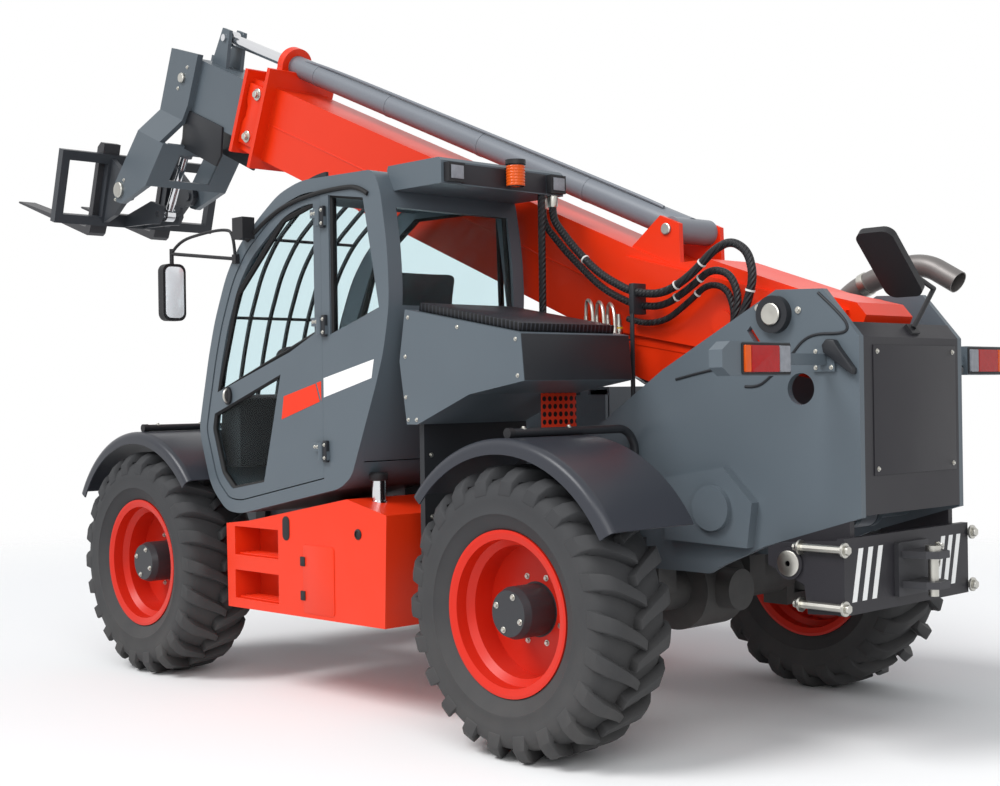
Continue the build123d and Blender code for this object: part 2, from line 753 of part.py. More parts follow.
# Hydraulic hoses from the light box and the couplers, looped over into the tower, and the cable sleeve
box_under = 2361
hose_routes = {
    "upper": [
        (563, 300, box_under),
        (563, 300, 2255),
        (440, 305, 2125),
        (262, 318, 1980),
        (60, 321, 1885),
        (-110, 321, 1868),
        (-260, 321, 1937),
        (-385, 321, 2035),
        (-475, 321, 2068),
        (-560, 321, 2020),
        (-588, 321, 1915),
        (-552, 321, 1800),
        (-490, 321, 1690),
        (-458, 321, 1560),
        (-458, 321, hose_end),
    ],
    "middle": [
        (640, 285, box_under),
        (640, 285, 2245),
        (500, 280, 2100),
        (278, 278, 1915),
        (85, 278, 1832),
        (-75, 278, 1818),
        (-222, 278, 1890),
        (-335, 278, 1962),
        (-435, 278, 1940),
        (-480, 278, 1845),
        (-455, 278, 1720),
        (-426, 278, 1580),
        (-426, 278, hose_end),
    ],
    "lower": [
        (165, 237, 1778),
        (60, 237, 1752),
        (-60, 237, 1762),
        (-175, 237, 1830),
        (-285, 237, 1905),
        (-385, 237, 1885),
        (-425, 237, 1790),
        (-410, 237, 1670),
        (-403, 237, 1550),
        (-403, 237, hose_end),
    ],
}
hose_radii = {"upper": 18, "middle": 16, "lower": 14}
sleeve_place = (rear_axle_x + 565, 372)
with BuildPart() as hoses:
    for name, route in hose_routes.items():
        pipe([(rear_axle_x + x, y, z) for x, y, z in route], hose_radii[name])
    rod((*sleeve_place, 1600), (*sleeve_place, box_under), 17)
hoses.part.label = "hoses"
export_step(hoses.part, "parts/hoses.step")

# Tank with two steps under the cab door
tank_front = wheelbase - wheel_room
tank_rear = 857
tank_outline = [
    (tank_rear, 425),
    (tank_front, 412),
    (tank_front + 8, 826),
    (1900 + front_shift, 848),
    (1120, 985),
    (tank_rear - 20, 925),
]
step_mid = tank_front - 250
step_half = 185
with BuildPart() as tank:
    side(tank_outline, tank_inner, tank_out)
    for low in (460, 675):
        x_pair = (rear_axle_x + step_mid - step_half, rear_axle_x + step_mid + step_half)
        block(x_pair, (tank_out - 150, tank_out), (low, low + 140), mode=Mode.SUBTRACT)
tank.part.label = "fuel_tank"
export_step(tank.part, "parts/fuel_tank.step")

def sill_height(x):
    return 1030 - (x - 1183) * 153 / (809 + front_shift)


floor_wall = 40
floor_rise = floor_wall * hypot(153, 809 + front_shift) / (809 + front_shift)

# Seat, console and steering wheel inside the cab
with BuildPart() as seat:
    seat_outline = [
        (1130, 1380),
        (1590, 1380),
        (1600, 1470),
        (1230, 1460),
        (1150, 2060),
        (1050, 2060),
        (1100, 1440),
    ]
    side(seat_outline, 410, 910)
    fillet(seat.edges().filter_by(Axis.Y), radius=22)
seat.part.label = "seat"
export_step(seat.part, "parts/seat.step")

console_foot = 1780 + front_shift
column_top = (1980 + front_shift, 1560)
with BuildPart() as console:
    console_outline = [
        (console_foot, sill_height(console_foot) + floor_rise),
        (console_foot + 140, sill_height(console_foot + 140) + floor_rise),
        (console_foot + 300, 1280),
        (column_top[0] + 47.63, column_top[1] + 27.5),
        (column_top[0] - 34.64, column_top[1] - 20),
        (console_foot + 140, 1250),
    ]
    side(console_outline, 560, 760)
console.part.label = "console"
export_step(console.part, "parts/console.step")

wheel_lean = Vector(-0.5, 0, 0.866)
column_end = Vector(rear_axle_x + column_top[0], 660, column_top[1])
wheel_mid = column_end + wheel_lean * 60
with BuildPart() as steering_wheel:
    with BuildSketch(Plane(origin=wheel_mid, x_dir=(0.866, 0, 0.5), z_dir=(0, 1, 0))) as section:
        with Locations((175, 0)):
            Circle(15)
    revolve(section.sketch, axis=Axis(tuple(wheel_mid), tuple(wheel_lean)))
    rod((wheel_mid.X, 485, wheel_mid.Z), (wheel_mid.X, 835, wheel_mid.Z), 9)
    rod(tuple(column_end), tuple(wheel_mid), 24)
steering_wheel.part.label = "steering_wheel"
export_step(steering_wheel.part, "parts/steering_wheel.step")

# Brackets on the frame: mudguard posts and bars, cab feet and tank arms
bar_radius = 18
bar_height = hub_height + guard_inner + guard_wall + bar_radius + 0.2
post_y = frame_half + bar_radius
with BuildPart() as brackets:
    for place, axle_x, hand in corners:
        low, high = hand_span(frame_half, frame_half + 2 * bar_radius, hand)
        block((axle_x - 45, axle_x + 45), (low, high), (frame_low + 20, frame_low + 130))
        foot = (axle_x, hand * post_y, frame_low + 100)
        bend = (axle_x, hand * post_y, bar_height)
        pipe([foot, bend, (axle_x, hand * (guard_outer - 60), bar_height)], bar_radius, share=0.2)
    for start in (1240, 1760 + front_shift):
        end = start + 140
        foot = [(start, 780), (end, 780), (end, sill_height(end)), (start, sill_height(start))]
        side(foot, frame_half, 530)
    for start in (tank_rear + 120, tank_front - 220):
        block((rear_axle_x + start, rear_axle_x + start + 90), (frame_half, tank_inner), (620, 700))
brackets.part.label = "frame_brackets"
export_step(brackets.part, "parts/frame_brackets.step")

# Engine side: engine as one block, lower box and hinged hood
with BuildPart() as engine:
    block((rear_axle_x + 1000, rear_axle_x + hood_front - 130), (-930, wall_in), (760, 1290))
engine.part.label = "engine_block"
export_step(engine.part, "parts/engine_block.step")

with BuildPart() as side_box:
    box_outline = [(tank_rear, 425), (tank_front, 412), (tank_front + 8, 700), (tank_rear, 700)]
    side(box_outline, -tank_out, -tank_inner)
    for start in (tank_rear + 120, tank_front - 220):
        block((rear_axle_x + start, rear_axle_x + start + 90), (-tank_inner, -frame_half), (610, 690))
side_box.part.label = "side_box"
export_step(side_box.part, "parts/side_box.step")

hood_outline = [
    (hood_rear, 730),
    (hood_front, 730),
    (hood_front, 1300),
    (hood_front - 140, hood_top),
    (hood_rear, hood_top),
]
hood_hollow = [
    (hood_rear + 16, 700),
    (hood_front - 16, 700),
    (hood_front - 16, 1294),
    (hood_front - 147, hood_top - 14),
    (hood_rear + 16, hood_top - 14),
]
hood_inner = hood_axis_y - 20
with BuildPart() as hood:
    side(hood_outline, -tank_out, hood_inner)
    side(hood_hollow, -tank_out + 16, hood_inner, mode=Mode.SUBTRACT)
    for start in (hood_rear + 170, hood_front - 170):
        ends = (rear_axle_x + start, rear_axle_x + start + 50)
        block(ends, (hood_inner, hood_axis_y), (hood_axis_z, hood_top))
        rod((ends[0], hood_axis_y, hood_axis_z), (ends[1], hood_axis_y, hood_axis_z), 10)
        drill = 5 + running_gap
        drill_start = (ends[0], hood_axis_y, hood_axis_z)
        rod(drill_start, (ends[1], hood_axis_y, hood_axis_z), drill, mode=Mode.SUBTRACT)
hood.part.label = "engine_hood"
export_step(hood.part, "parts/engine_hood.step")

# Exhaust over the right rear wheel, on a bracket from the tower
exhaust_y = -700
with BuildPart() as exhaust:
    bends = [(-188, 1506), (-240, 1730), (-362, 1890), (-555, 1966), (-752, 2010), (-921, 1909)]
    path = [(rear_axle_x + x, exhaust_y, z) for x, z in bends]
    pipe(path, 50)
    mouth = Vector(*path[-2]) - Vector(*path[-1])
    inside = Vector(*path[-1]) + mouth.normalized() * 90
    rod(path[-1], tuple(inside), 46, mode=Mode.SUBTRACT)
    block((rear_axle_x - 250, rear_axle_x - 170), (exhaust_y, -frame_half), (1500, 1540))
exhaust.part.label = "exhaust"
export_step(exhaust.part, "parts/exhaust.step")

# Tail lights on arms from the tower plates
lamp_in = 643
lamp_out = 1048
with BuildPart() as tail_lights:
    for hand in (1, -1):
        with BuildSketch(Plane.YZ.offset(rear_axle_x - 990)) as housing:
            with BuildLine():
                Polyline(
                    (hand * lamp_in, 1505),
                    (hand * (lamp_out - 45), 1505),
                    (hand * lamp_out, 1535),
                    (hand * lamp_out, 1598),
                    (hand * (lamp_out - 45), 1628),
                    (hand * lamp_in, 1628),
                    close=True,
                )
            make_face()
        extrude(housing.sketch, amount=60)
        low, high = hand_span(frame_half, lamp_in, hand)
        block((rear_axle_x - 975, rear_axle_x - 945), (low, high), (1545, 1588))
        low, high = hand_span(frame_half, frame_half + 12, hand)
        block((rear_axle_x - 1010, rear_axle_x - 910), (low, high), (1520, 1612))
tail_lights.part.label = "tail_lights"
export_step(tail_lights.part, "parts/tail_lights.step")

# Mirrors: one on the cab's front pillar, one on the fold of the rear panel
mirror_y = cab_out + 62
with BuildPart() as mirrors:
    foot_x = rear_axle_x + 1968 + front_shift
    head_x = rear_axle_x + 2500 + front_shift
    block((foot_x, foot_x + 32), (cab_out, cab_out + 24), (2115, 2160))
    with BuildSketch(Plane.YZ.offset(head_x - 25)) as mirror_face:
        with Locations((mirror_y, 2000)):
            RectangleRounded(134, 294, 40)
    extrude(mirror_face.sketch, amount=50)
    rod((foot_x + 16, cab_out + 14, 2138), (head_x, mirror_y, 2200), 9)
    rod((head_x, mirror_y, 2225), (head_x, mirror_y, 2100), 11)
    fold_foot = [(-1102.8, 1661.6), (-1075.2, 1696.4), (-1086.2, 1705.1), (-1113.8, 1670.3)]
    side(fold_foot, -60, 0)
    arm = [(-1100, -30, 1690), (-1110, -170, 1850), (-1140, 183, 1947)]
    for start, end in zip(arm, arm[1:]):
        here = (rear_axle_x + start[0], start[1], start[2])
        rod(here, (rear_axle_x + end[0], end[1], end[2]), 10)
        with Locations((rear_axle_x + end[0], end[1], end[2])):
            Sphere(10)
    face = Plane(origin=(rear_axle_x - 1140, 185, 1945), x_dir=(1, 0, 0), z_dir=(0, 0.69, -0.724))
    with BuildSketch(face) as plate:
        RectangleRounded(160, 340, 40)
    extrude(plate.sketch, amount=30)
mirrors.part.label = "mirrors"
export_step(mirrors.part, "parts/mirrors.step")

inner_space = boom_half - boom_wall
hollow_high = boom_top - boom_wall
hollow_low = boom_bottom + boom_wall
pad_wide = 80


def slide_pads(u_pair, outer_gap, inner_gap):
    boom_box(u_pair, (inner_top + inner_gap, hollow_high - outer_gap), (-pad_wide, pad_wide))
    boom_box(u_pair, (hollow_low + outer_gap, inner_bottom - inner_gap), (-pad_wide, pad_wide))
    for hand in (1, -1):
        low, high = hand_span(inner_half + inner_gap, inner_space - outer_gap, hand)
        boom_box(u_pair, (-310, -190), (low, high))


# Outer boom: box tube, raised rear with pivot tube, front collar and lugs
ram_gland = 4110
with BuildPart() as outer_boom:
    boom_outline = [
        (boom_front, boom_top),
        (boom_front, boom_bottom),
        (950, boom_bottom),
        (200, -290),
        (-150, -220),
        (-260, -110),
        (-260, 100),
        (-200, 130),
        (60, 90),
        (560, 55),
        (760, boom_top),
    ]
    boom_side(boom_outline, -boom_half, boom_half)
    boom_box((boom_front - 280, boom_front - 250), (boom_bottom - 57, 72), (-240, 240))
    boom_box((boom_front - 30, boom_front), (boom_bottom - 25, 13), (-220, 220))
    hollow_rear = inner_rear - 40
    hollow_span = (-inner_space, inner_space)
    boom_box((hollow_rear, boom_front), (hollow_low, hollow_high), hollow_span, mode=Mode.SUBTRACT)
    for hand in (1, -1):
        low, high = hand_span(60, 85, hand)
        lift_lug = [(930, boom_bottom + 6), (945, -640), (1060, -640), (1150, boom_bottom + 6)]
        boom_side(lift_lug, low, high)
        boom_disc(lift_eye, 32, low, high, mode=Mode.SUBTRACT)
        low, high = hand_span(132, 157, hand)
        boom_side([(700, boom_top - 6), (785, 145), (901, 145), (1010, boom_top - 6)], low, high)
        boom_disc((843, ram_height), 25, low, high, mode=Mode.SUBTRACT)
        low, high = hand_span(boom_half, boom_half + 20, hand)
        boom_side([(-180, -160), (180, -250), (1000, -430), (1000, -80), (-180, 90)], low, high)
        low, high = hand_span(boom_half, boom_half + 34, hand)
        boom_disc((368, -169), 55, low, high)
    boom_disc((0, 0), 85, 5 - cross_half, cross_half - 5)
    boom_disc((0, 0), pivot_pin_radius + running_gap, -cross_half, cross_half, mode=Mode.SUBTRACT)
    boom_box((boom_front - 195, boom_front - 140), (boom_top - 6, ram_height), (-100, 100))
    rod(boom_at(boom_front - 195, ram_height), boom_at(boom_front - 140, ram_height), 103)
    ram_start = boom_at(boom_front - 300, ram_height)
    rod(ram_start, boom_at(boom_front, ram_height), ram_barrel_radius, mode=Mode.SUBTRACT)
    slide_pads((boom_front - 150, boom_front - 20), 0, pad_gap)
outer_boom.part.label = "outer_boom"
export_step(outer_boom.part, "parts/outer_boom.step")

# Telescope ram on top of the boom: barrel on the outer boom, rod on the inner one
with BuildPart() as telescope_barrel:
    rod(boom_at(843, ram_height), boom_at(ram_gland, ram_height), ram_barrel_radius)
    boom_disc((843, ram_height), 58, -131, 131)
    boom_disc((843, ram_height), 25, -165, 165)
    rod(boom_at(960, ram_height), boom_at(ram_gland - 40, ram_height), 50, mode=Mode.SUBTRACT)
    gland_bore = ram_rod_radius + running_gap
    rod(boom_at(ram_gland - 41, ram_height), boom_at(ram_gland, ram_height), gland_bore, mode=Mode.SUBTRACT)
telescope_barrel.part.label = "telescope_barrel"
export_step(telescope_barrel.part, "parts/telescope_barrel.step")

rod_eye_u = 4773
with BuildPart() as telescope_rod:
    rod(boom_at(1500, ram_height), boom_at(rod_eye_u, ram_height), ram_rod_radius)
    boom_disc((rod_eye_u, ram_height), 48, -28, 28)
    boom_disc((rod_eye_u, ram_height), 22, -78, 78)
telescope_rod.part.label = "telescope_rod"
export_step(telescope_rod.part, "parts/telescope_rod.step")

# Inner boom: box tube with the bracket for the telescope rod
with BuildPart() as inner_boom:
    boom_box((inner_rear, inner_front), (inner_bottom, inner_top), (-inner_half, inner_half))
    hollow = inner_half - 10
    hollow_height = (inner_bottom + 10, inner_top - 10)
    boom_box((inner_rear, inner_front), hollow_height, (-hollow, hollow), mode=Mode.SUBTRACT)
    for hand in (1, -1):
        low, high = hand_span(40, 65, hand)
        bracket = [(4690, inner_top - 5), (4735, 155), (4815, 155), (4860, inner_top - 5)]
        boom_side(bracket, low, high)
        boom_disc((rod_eye_u, ram_height), 22, low, high, mode=Mode.SUBTRACT)
    slide_pads((inner_rear + 10, inner_rear + 130), pad_gap, 0)
inner_boom.part.label = "inner_boom"
export_step(inner_boom.part, "parts/inner_boom.step")

# Boom head: cranked side plates, end plate, underside plate and ram lugs
head_narrow = 170
head_wide = 300
head_wall = 40
u_way = (cos(radians(boom_angle)), 0, sin(radians(boom_angle)))
with BuildPart() as boom_head:
    for hand in (1, -1):
        low, high = hand_span(head_narrow - head_wall, head_narrow, hand)
        upper = [(5188, -72), (4867, -40), (4870, -369), (4898, -470), (5186, -470)]
        boom_side(upper, low, high)
        flare_plane = Plane(origin=boom_at(4898, 0), x_dir=(0, 1, 0), z_dir=u_way)
        with BuildSketch(flare_plane) as flare:
            with BuildLine():
                Polyline(
                    (hand * (head_narrow - head_wall), -470),
                    (hand * head_narrow, -470),
                    (hand * head_wide, -625),
                    (hand * (head_wide - head_wall), -625),
                    close=True,
                )
            make_face()
        extrude(flare.sketch, amount=284)
        low, high = hand_span(head_wide - head_wall, head_wide, hand)
        tip_u = carriage_pin[0]
        tip_v = carriage_pin[1]
        lower = [
            (4850, -625),
            (5182, -625),
            (tip_u + 75, tip_v + 30),
            (tip_u + 70, tip_v - 45),
            (tip_u + 15, tip_v - 85),
            (tip_u - 50, tip_v - 77),
            (4965, -931),
        ]
        boom_side(lower, low, high)
        boom_disc(carriage_pin, 30 + running_gap, low, high, mode=Mode.SUBTRACT)
        low, high = hand_span(58, 80, hand)
        lug = [(4930, -310), (4930, -130), (4990, -165), (5045, -200), (5045, -240), (4990, -275)]
        boom_side(lug, low, high)
    underside = [(4850, -625), (4866, -619), (4981, -925), (4965, -931)]
    boom_side(underside, head_wall - head_wide, head_wide - head_wall)
    boom_box((4800, 5050), (-880, -690), (-150, 150), mode=Mode.SUBTRACT)
    boom_box((inner_front, inner_front + 16), (inner_bottom, inner_top), (-inner_half, inner_half))
    boom_disc(tilt_base, 20, -80, 80)
boom_head.part.label = "boom_head"
export_step(boom_head.part, "parts/boom_head.step")


def ram_point(start, way, distance):
    return tuple(start[i] + way[i] * distance for i in range(3))


# Lift ram under the boom
lift_start = (rear_axle_x + lift_base[0], 0, lift_base[1])
lift_end = boom_at(*lift_eye)
lift_line = Vector(*lift_end) - Vector(*lift_start)
lift_way = tuple(lift_line.normalized())
with BuildPart() as lift_barrel:
    disc(lift_base, 60, -55, 55)
    rod(lift_start, ram_point(lift_start, lift_way, 90), 48)
    rod(ram_point(lift_start, lift_way, 80), ram_point(lift_start, lift_way, 960), 70)
    rod(ram_point(lift_start, lift_way, 900), ram_point(lift_start, lift_way, 960), 78)
    disc(lift_base, 34 + running_gap, -55, 55, mode=Mode.SUBTRACT)
    rod(ram_point(lift_start, lift_way, 120), ram_point(lift_start, lift_way, 921), 52, mode=Mode.SUBTRACT)
    gland = 40 + running_gap
    gland_start = ram_point(lift_start, lift_way, 920)
    rod(gland_start, ram_point(lift_start, lift_way, 961), gland, mode=Mode.SUBTRACT)
    disc(lift_base, 34 + running_gap, -80, 80, mode=Mode.SUBTRACT)
lift_barrel.part.label = "lift_barrel"
export_step(lift_barrel.part, "parts/lift_barrel.step")

with BuildPart() as lift_rod:
    rod(ram_point(lift_start, lift_way, 440), lift_end, 40)
    boom_disc(lift_eye, 56, -40, 40)
    boom_disc(lift_eye, 30, -50, 50, mode=Mode.SUBTRACT)
lift_rod.part.label = "lift_rod"
export_step(lift_rod.part, "parts/lift_rod.step")

# Tilt ram inside the boom head
tilt_start = boom_at(*tilt_base)
tilt_end = local(carriage_frame, carriage_angle, tilt_crank)
tilt_line = Vector(*tilt_end) - Vector(*tilt_start)
tilt_way = tuple(tilt_line.normalized())
with BuildPart() as tilt_barrel:
    boom_disc(tilt_base, 46, -50, 50)
    rod(tilt_start, ram_point(tilt_start, tilt_way, 520), 48)
    boom_disc(tilt_base, 20 + running_gap, -60, 60, mode=Mode.SUBTRACT)
    rod(ram_point(tilt_start, tilt_way, 120), ram_point(tilt_start, tilt_way, 496), 36, mode=Mode.SUBTRACT)
    gland = 26 + running_gap
    gland_start = ram_point(tilt_start, tilt_way, 495)
    rod(gland_start, ram_point(tilt_start, tilt_way, 521), gland, mode=Mode.SUBTRACT)
tilt_barrel.part.label = "tilt_barrel"
export_step(tilt_barrel.part, "parts/tilt_barrel.step")

with BuildPart() as tilt_rod:
    rod(ram_point(tilt_start, tilt_way, 390), tilt_end, 26)
    disc(tilt_crank, 44, -30, 30, carriage_frame, carriage_angle)
    disc(tilt_crank, 24, -40, 40, carriage_frame, carriage_angle, mode=Mode.SUBTRACT)
tilt_rod.part.label = "tilt_rod"
export_step(tilt_rod.part, "parts/tilt_rod.step")

# Fork carriage: ladder frame, pivot cheeks and tilt lugs
with BuildPart() as carriage:
    carriage_box((250, 310), (-290, 193), (-carriage_half, carriage_half))
    for hand in (1, -1):
        low, high = hand_span(265, carriage_half - 55, hand)
        carriage_box((240, 320), (-230, 130), (low, high), mode=Mode.SUBTRACT)
    carriage_box((240, 320), (-205, 95), (-195, 195), mode=Mode.SUBTRACT)
    for hand in (1, -1):
        low, high = hand_span(215, 250, hand)
        cheek_top = [(252, -270), (252, 170), (120, 120), (10, 72), (-45, 52)]
        cheek = cheek_top + [(-70, 0), (-45, -52), (20, -75), (120, -190)]
        carriage_side(cheek, low, high)
        low, high = hand_span(205, head_wide + 12, hand)
        disc((0, 0), 30, low, high, carriage_frame, carriage_angle)
        low, high = hand_span(62, 84, hand)
        lug_root = [(252, -285), (252, -207)]
        tilt_lug = lug_root + [(-40, -50), (-170, -55), (-198, -116), (-170, -176), (-60, -200)]
        carriage_side(tilt_lug, low, high)
        disc(tilt_crank, 24, low, high, carriage_frame, carriage_angle, mode=Mode.SUBTRACT)
carriage.part.label = "fork_carriage"
export_step(carriage.part, "parts/fork_carriage.step")

# Forks hooked on the carriage
fork_half = 60
with BuildPart() as forks:
    for hand in (1, -1):
        low, high = hand_span(fork_gauge - fork_half, fork_gauge + fork_half, hand)
        fork_outline = [
            (310, 193),
            (310, -300),
            (318, -352),
            (345, -376),
            (fork_length + 310, -364),
            (fork_length + 322, -357),
            (fork_length + 310, -350),
            (385, -326),
            (362, -300),
            (355, 225),
            (320, 262),
            (270, 262),
            (270, 193),
        ]
        carriage_side(fork_outline, low, high)
forks.part.label = "forks"
export_step(forks.part, "parts/forks.step")
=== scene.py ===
import math

import bpy
from mathutils import Matrix, Vector


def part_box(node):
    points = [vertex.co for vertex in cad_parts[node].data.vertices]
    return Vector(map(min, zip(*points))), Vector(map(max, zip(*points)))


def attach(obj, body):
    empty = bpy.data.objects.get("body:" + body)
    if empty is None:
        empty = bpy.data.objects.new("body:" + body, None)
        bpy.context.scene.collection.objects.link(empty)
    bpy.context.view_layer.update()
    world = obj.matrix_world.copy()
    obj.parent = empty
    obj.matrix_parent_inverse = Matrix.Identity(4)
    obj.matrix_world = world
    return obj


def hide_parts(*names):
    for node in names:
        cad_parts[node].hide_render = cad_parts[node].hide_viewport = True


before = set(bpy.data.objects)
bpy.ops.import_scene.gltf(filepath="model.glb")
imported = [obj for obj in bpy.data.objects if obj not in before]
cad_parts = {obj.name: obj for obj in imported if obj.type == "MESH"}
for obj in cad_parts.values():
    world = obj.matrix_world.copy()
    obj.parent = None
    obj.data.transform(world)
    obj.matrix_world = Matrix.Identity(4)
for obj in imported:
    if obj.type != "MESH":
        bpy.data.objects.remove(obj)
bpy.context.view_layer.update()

# Studio: camera at the photograph's angle, a pale floor that fades into the white surround,
# and soft daylight from the front left, as in an open yard.
camera_place = Vector((-6.595, 5.196, 1.456))
camera_yaw = math.radians(43.5)
camera_roll = math.radians(-0.83)
focal_pixels = 1482
photo_width = 1000
sensor_width = 36
level_right = Vector((-math.sin(camera_yaw), -math.cos(camera_yaw), 0))
level_up = Vector((0, 0, 1))
camera_right = level_right * math.cos(camera_roll) + level_up * math.sin(camera_roll)
camera_up = level_up * math.cos(camera_roll) - level_right * math.sin(camera_roll)
camera_back = camera_right.cross(camera_up)
camera_turn = Matrix((camera_right, camera_up, camera_back)).transposed().to_4x4()

bpy.ops.object.select_all(action="DESELECT")
bpy.ops.object.camera_add()
camera = bpy.context.object
camera.matrix_world = Matrix.Translation(camera_place) @ camera_turn
camera.data.sensor_fit = "HORIZONTAL"
camera.data.sensor_width = sensor_width
camera.data.lens = sensor_width * focal_pixels / photo_width
camera.data.clip_end = 200
scene = bpy.context.scene
scene.camera = camera
scene.view_settings.view_transform = "Standard"


def add_node(tree, kind, sockets=None, **settings):
    """A new shader node of one kind, with its settings, and a value or a link for each named socket."""
    made = tree.nodes.new("ShaderNode" + kind)
    for name, value in settings.items():
        setattr(made, name, value)
    for socket, value in (sockets or {}).items():
        if isinstance(value, bpy.types.NodeSocket):
            tree.links.new(value, made.inputs[socket])
        else:
            made.inputs[socket].default_value = value
    return made



surround = bpy.data.worlds.new("surround")
scene.world = surround
surround.use_nodes = True
sky = surround.node_tree
sky_fill = sky.nodes["Background"]
sky_fill.inputs["Color"].default_value = (0.93, 0.96, 1.0, 1)
sky_fill.inputs["Strength"].default_value = 0.55
sky_seen = add_node(sky, "Background", {"Color": (1, 1, 1, 1), "Strength": 1.0})
ray = add_node(sky, "LightPath").outputs
seen_ways = {0: ray["Is Camera Ray"], 1: ray["Is Glossy Ray"]}
seen_or_mirrored = add_node(sky, "Math", seen_ways, operation="MAXIMUM")
all_ways = {0: seen_or_mirrored.outputs[0], 1: ray["Is Transmission Ray"]}
seen_or_through = add_node(sky, "Math", all_ways, operation="MAXIMUM")
sky_parts = {"Fac": seen_or_through.outputs[0], 1: sky_fill.outputs[0], 2: sky_seen.outputs[0]}
sky_mix = add_node(sky, "MixShader", sky_parts)
sky.links.new(sky_mix.outputs["Shader"], sky.nodes["World Output"].inputs["Surface"])

bpy.ops.object.light_add(type="SUN", rotation=(math.radians(-40), math.radians(14), 0))
daylight = bpy.context.object
daylight.name = "daylight"
daylight.data.energy = 2.1
daylight.data.angle = math.radians(25)
fill_place = (-7.5, 6.0, 5.5)
fill_turn = (math.radians(-58), 0, math.radians(52))
bpy.ops.object.light_add(type="AREA", location=fill_place, rotation=fill_turn)
front_fill = bpy.context.object
front_fill.name = "front_fill"
front_fill.data.size = 6
front_fill.data.energy = 380

floor_radius = 24
floor_solid_to = 4.2
floor_gone_at = 9.5
bpy.ops.mesh.primitive_circle_add(vertices=96, radius=floor_radius, fill_type="NGON")
floor = bpy.context.object
floor.name = "floor"
pale_floor = bpy.data.materials.new("pale_floor")
pale_floor.use_nodes = True
ground = pale_floor.node_tree
floor_shader = ground.nodes["Principled BSDF"]
floor_shader.inputs["Base Color"].default_value = (0.86, 0.86, 0.86, 1)
floor_shader.inputs["Roughness"].default_value = 0.9
floor_place = add_node(ground, "TexCoord").outputs["Object"]
floor_reach = add_node(ground, "VectorMath", {0: floor_place}, operation="LENGTH").outputs["Value"]
floor_span = {"Value": floor_reach, "From Min": floor_solid_to, "From Max": floor_gone_at}
floor_fade = add_node(ground, "MapRange", floor_span, interpolation_type="SMOOTHSTEP")
floor_clear = add_node(ground, "BsdfTransparent")
floor_parts = {"Fac": floor_fade.outputs["Result"], 1: floor_shader.outputs[0], 2: floor_clear.outputs[0]}
floor_mix = add_node(ground, "MixShader", floor_parts)
ground.links.new(floor_mix.outputs["Shader"], ground.nodes["Material Output"].inputs["Surface"])
floor.data.materials.append(pale_floor)

# Chassis frame: thick cut steel plates welded into a deep H with the boom tower at its rear,
# shot-blasted and sprayed slate grey. Each tower plate has two curved black seams and a black
# lifting lug welded on near its rear edge.
rear_x = sum(corner[0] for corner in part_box("rear_left_tyre")) / 2
coat_shine = 0.28
dust_starts = 1.1
dust_full = 0.1
dust_colour = (0.34, 0.31, 0.27)


def overpaint(finish, colour, where):
    """Lays a second colour over a finish, as far as a socket says."""
    tree = finish.node_tree
    base = tree.nodes["Principled BSDF"].inputs["Base Color"]
    under = base.links[0].from_socket
    over = add_node(tree, "Mix", {0: where, 6: under, 7: (*colour, 1)}, data_type="RGBA")
    tree.links.new(over.outputs[2], base)



def coat(name, colour, shade, rough, metal=0.0, patch=2.5, grain=180.0, depth=0.015, dust=0.0):
    """A sprayed, cast or moulded finish: two close colours in broad patches, a fine grain, dust low down."""
    finish = bpy.data.materials.new(name)
    finish.use_nodes = True
    tree = finish.node_tree
    shader = tree.nodes["Principled BSDF"]
    shader.inputs["Metallic"].default_value = metal
    shader.inputs["Specular IOR Level"].default_value = coat_shine
    place = add_node(tree, "TexCoord").outputs["Object"]
    patches = add_node(tree, "TexNoise", {"Vector": place, "Scale": patch, "Detail": 5}).outputs["Fac"]
    fine = add_node(tree, "TexNoise", {"Vector": place, "Scale": grain, "Detail": 3}).outputs["Fac"]
    paint = add_node(tree, "Mix", {0: patches, 6: (*colour, 1), 7: (*shade, 1)}, data_type="RGBA")
    gloss = add_node(tree, "MapRange", {"Value": patches, "To Min": rough - 0.06, "To Max": rough + 0.08})
    bump = add_node(tree, "Bump", {"Height": fine, "Strength": 0.35, "Distance": depth * 0.01})
    tree.links.new(paint.outputs[2], shader.inputs["Base Color"])
    tree.links.new(gloss.outputs["Result"], shader.inputs["Roughness"])
    tree.links.new(bump.outputs["Normal"], shader.inputs["Normal"])
    if dust:
        height = add_node(tree, "SeparateXYZ", {"Vector": place}).outputs["Z"]
        low = add_node(tree, "MapRange", {"Value": height, "From Min": dust_starts, "From Max": dust_full})
        cloud = add_node(tree, "TexNoise", {"Vector": place, "Scale": 7.0, "Detail": 6})
        amounts = {0: low.outputs["Result"], 1: cloud.outputs["Fac"]}
        amount = add_node(tree, "Math", amounts, operation="MULTIPLY").outputs["Value"]
        thin = add_node(tree, "Math", {0: amount, 1: dust}, operation="MULTIPLY")
        overpaint(finish, dust_colour, thin.outputs["Value"])
    return finish


def dress(finish, *names):
    """Gives the named frame pieces their finish."""
    for name in names:
        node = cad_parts[name]
        node.data.materials.clear()
        node.data.materials.append(finish)


def only(piece):
    """Makes one piece the whole selection."""
    bpy.ops.object.select_all(action="DESELECT")
    piece.select_set(True)
    bpy.context.view_layer.objects.active = piece


def open_mesh():
    """Goes into edit mode with the whole mesh selected."""
    bpy.ops.object.mode_set(mode="EDIT")
    bpy.ops.mesh.select_all(action="SELECT")


def close_mesh():
    """Goes back to object mode."""
    bpy.ops.object.mode_set(mode="OBJECT")


def gather(pieces):
    """Joins like pieces into one."""
    bpy.ops.object.select_all(action="DESELECT")
    for piece in pieces:
        piece.select_set(True)
    bpy.context.view_layer.objects.active = pieces[0]
    bpy.ops.object.join()
    return bpy.context.object


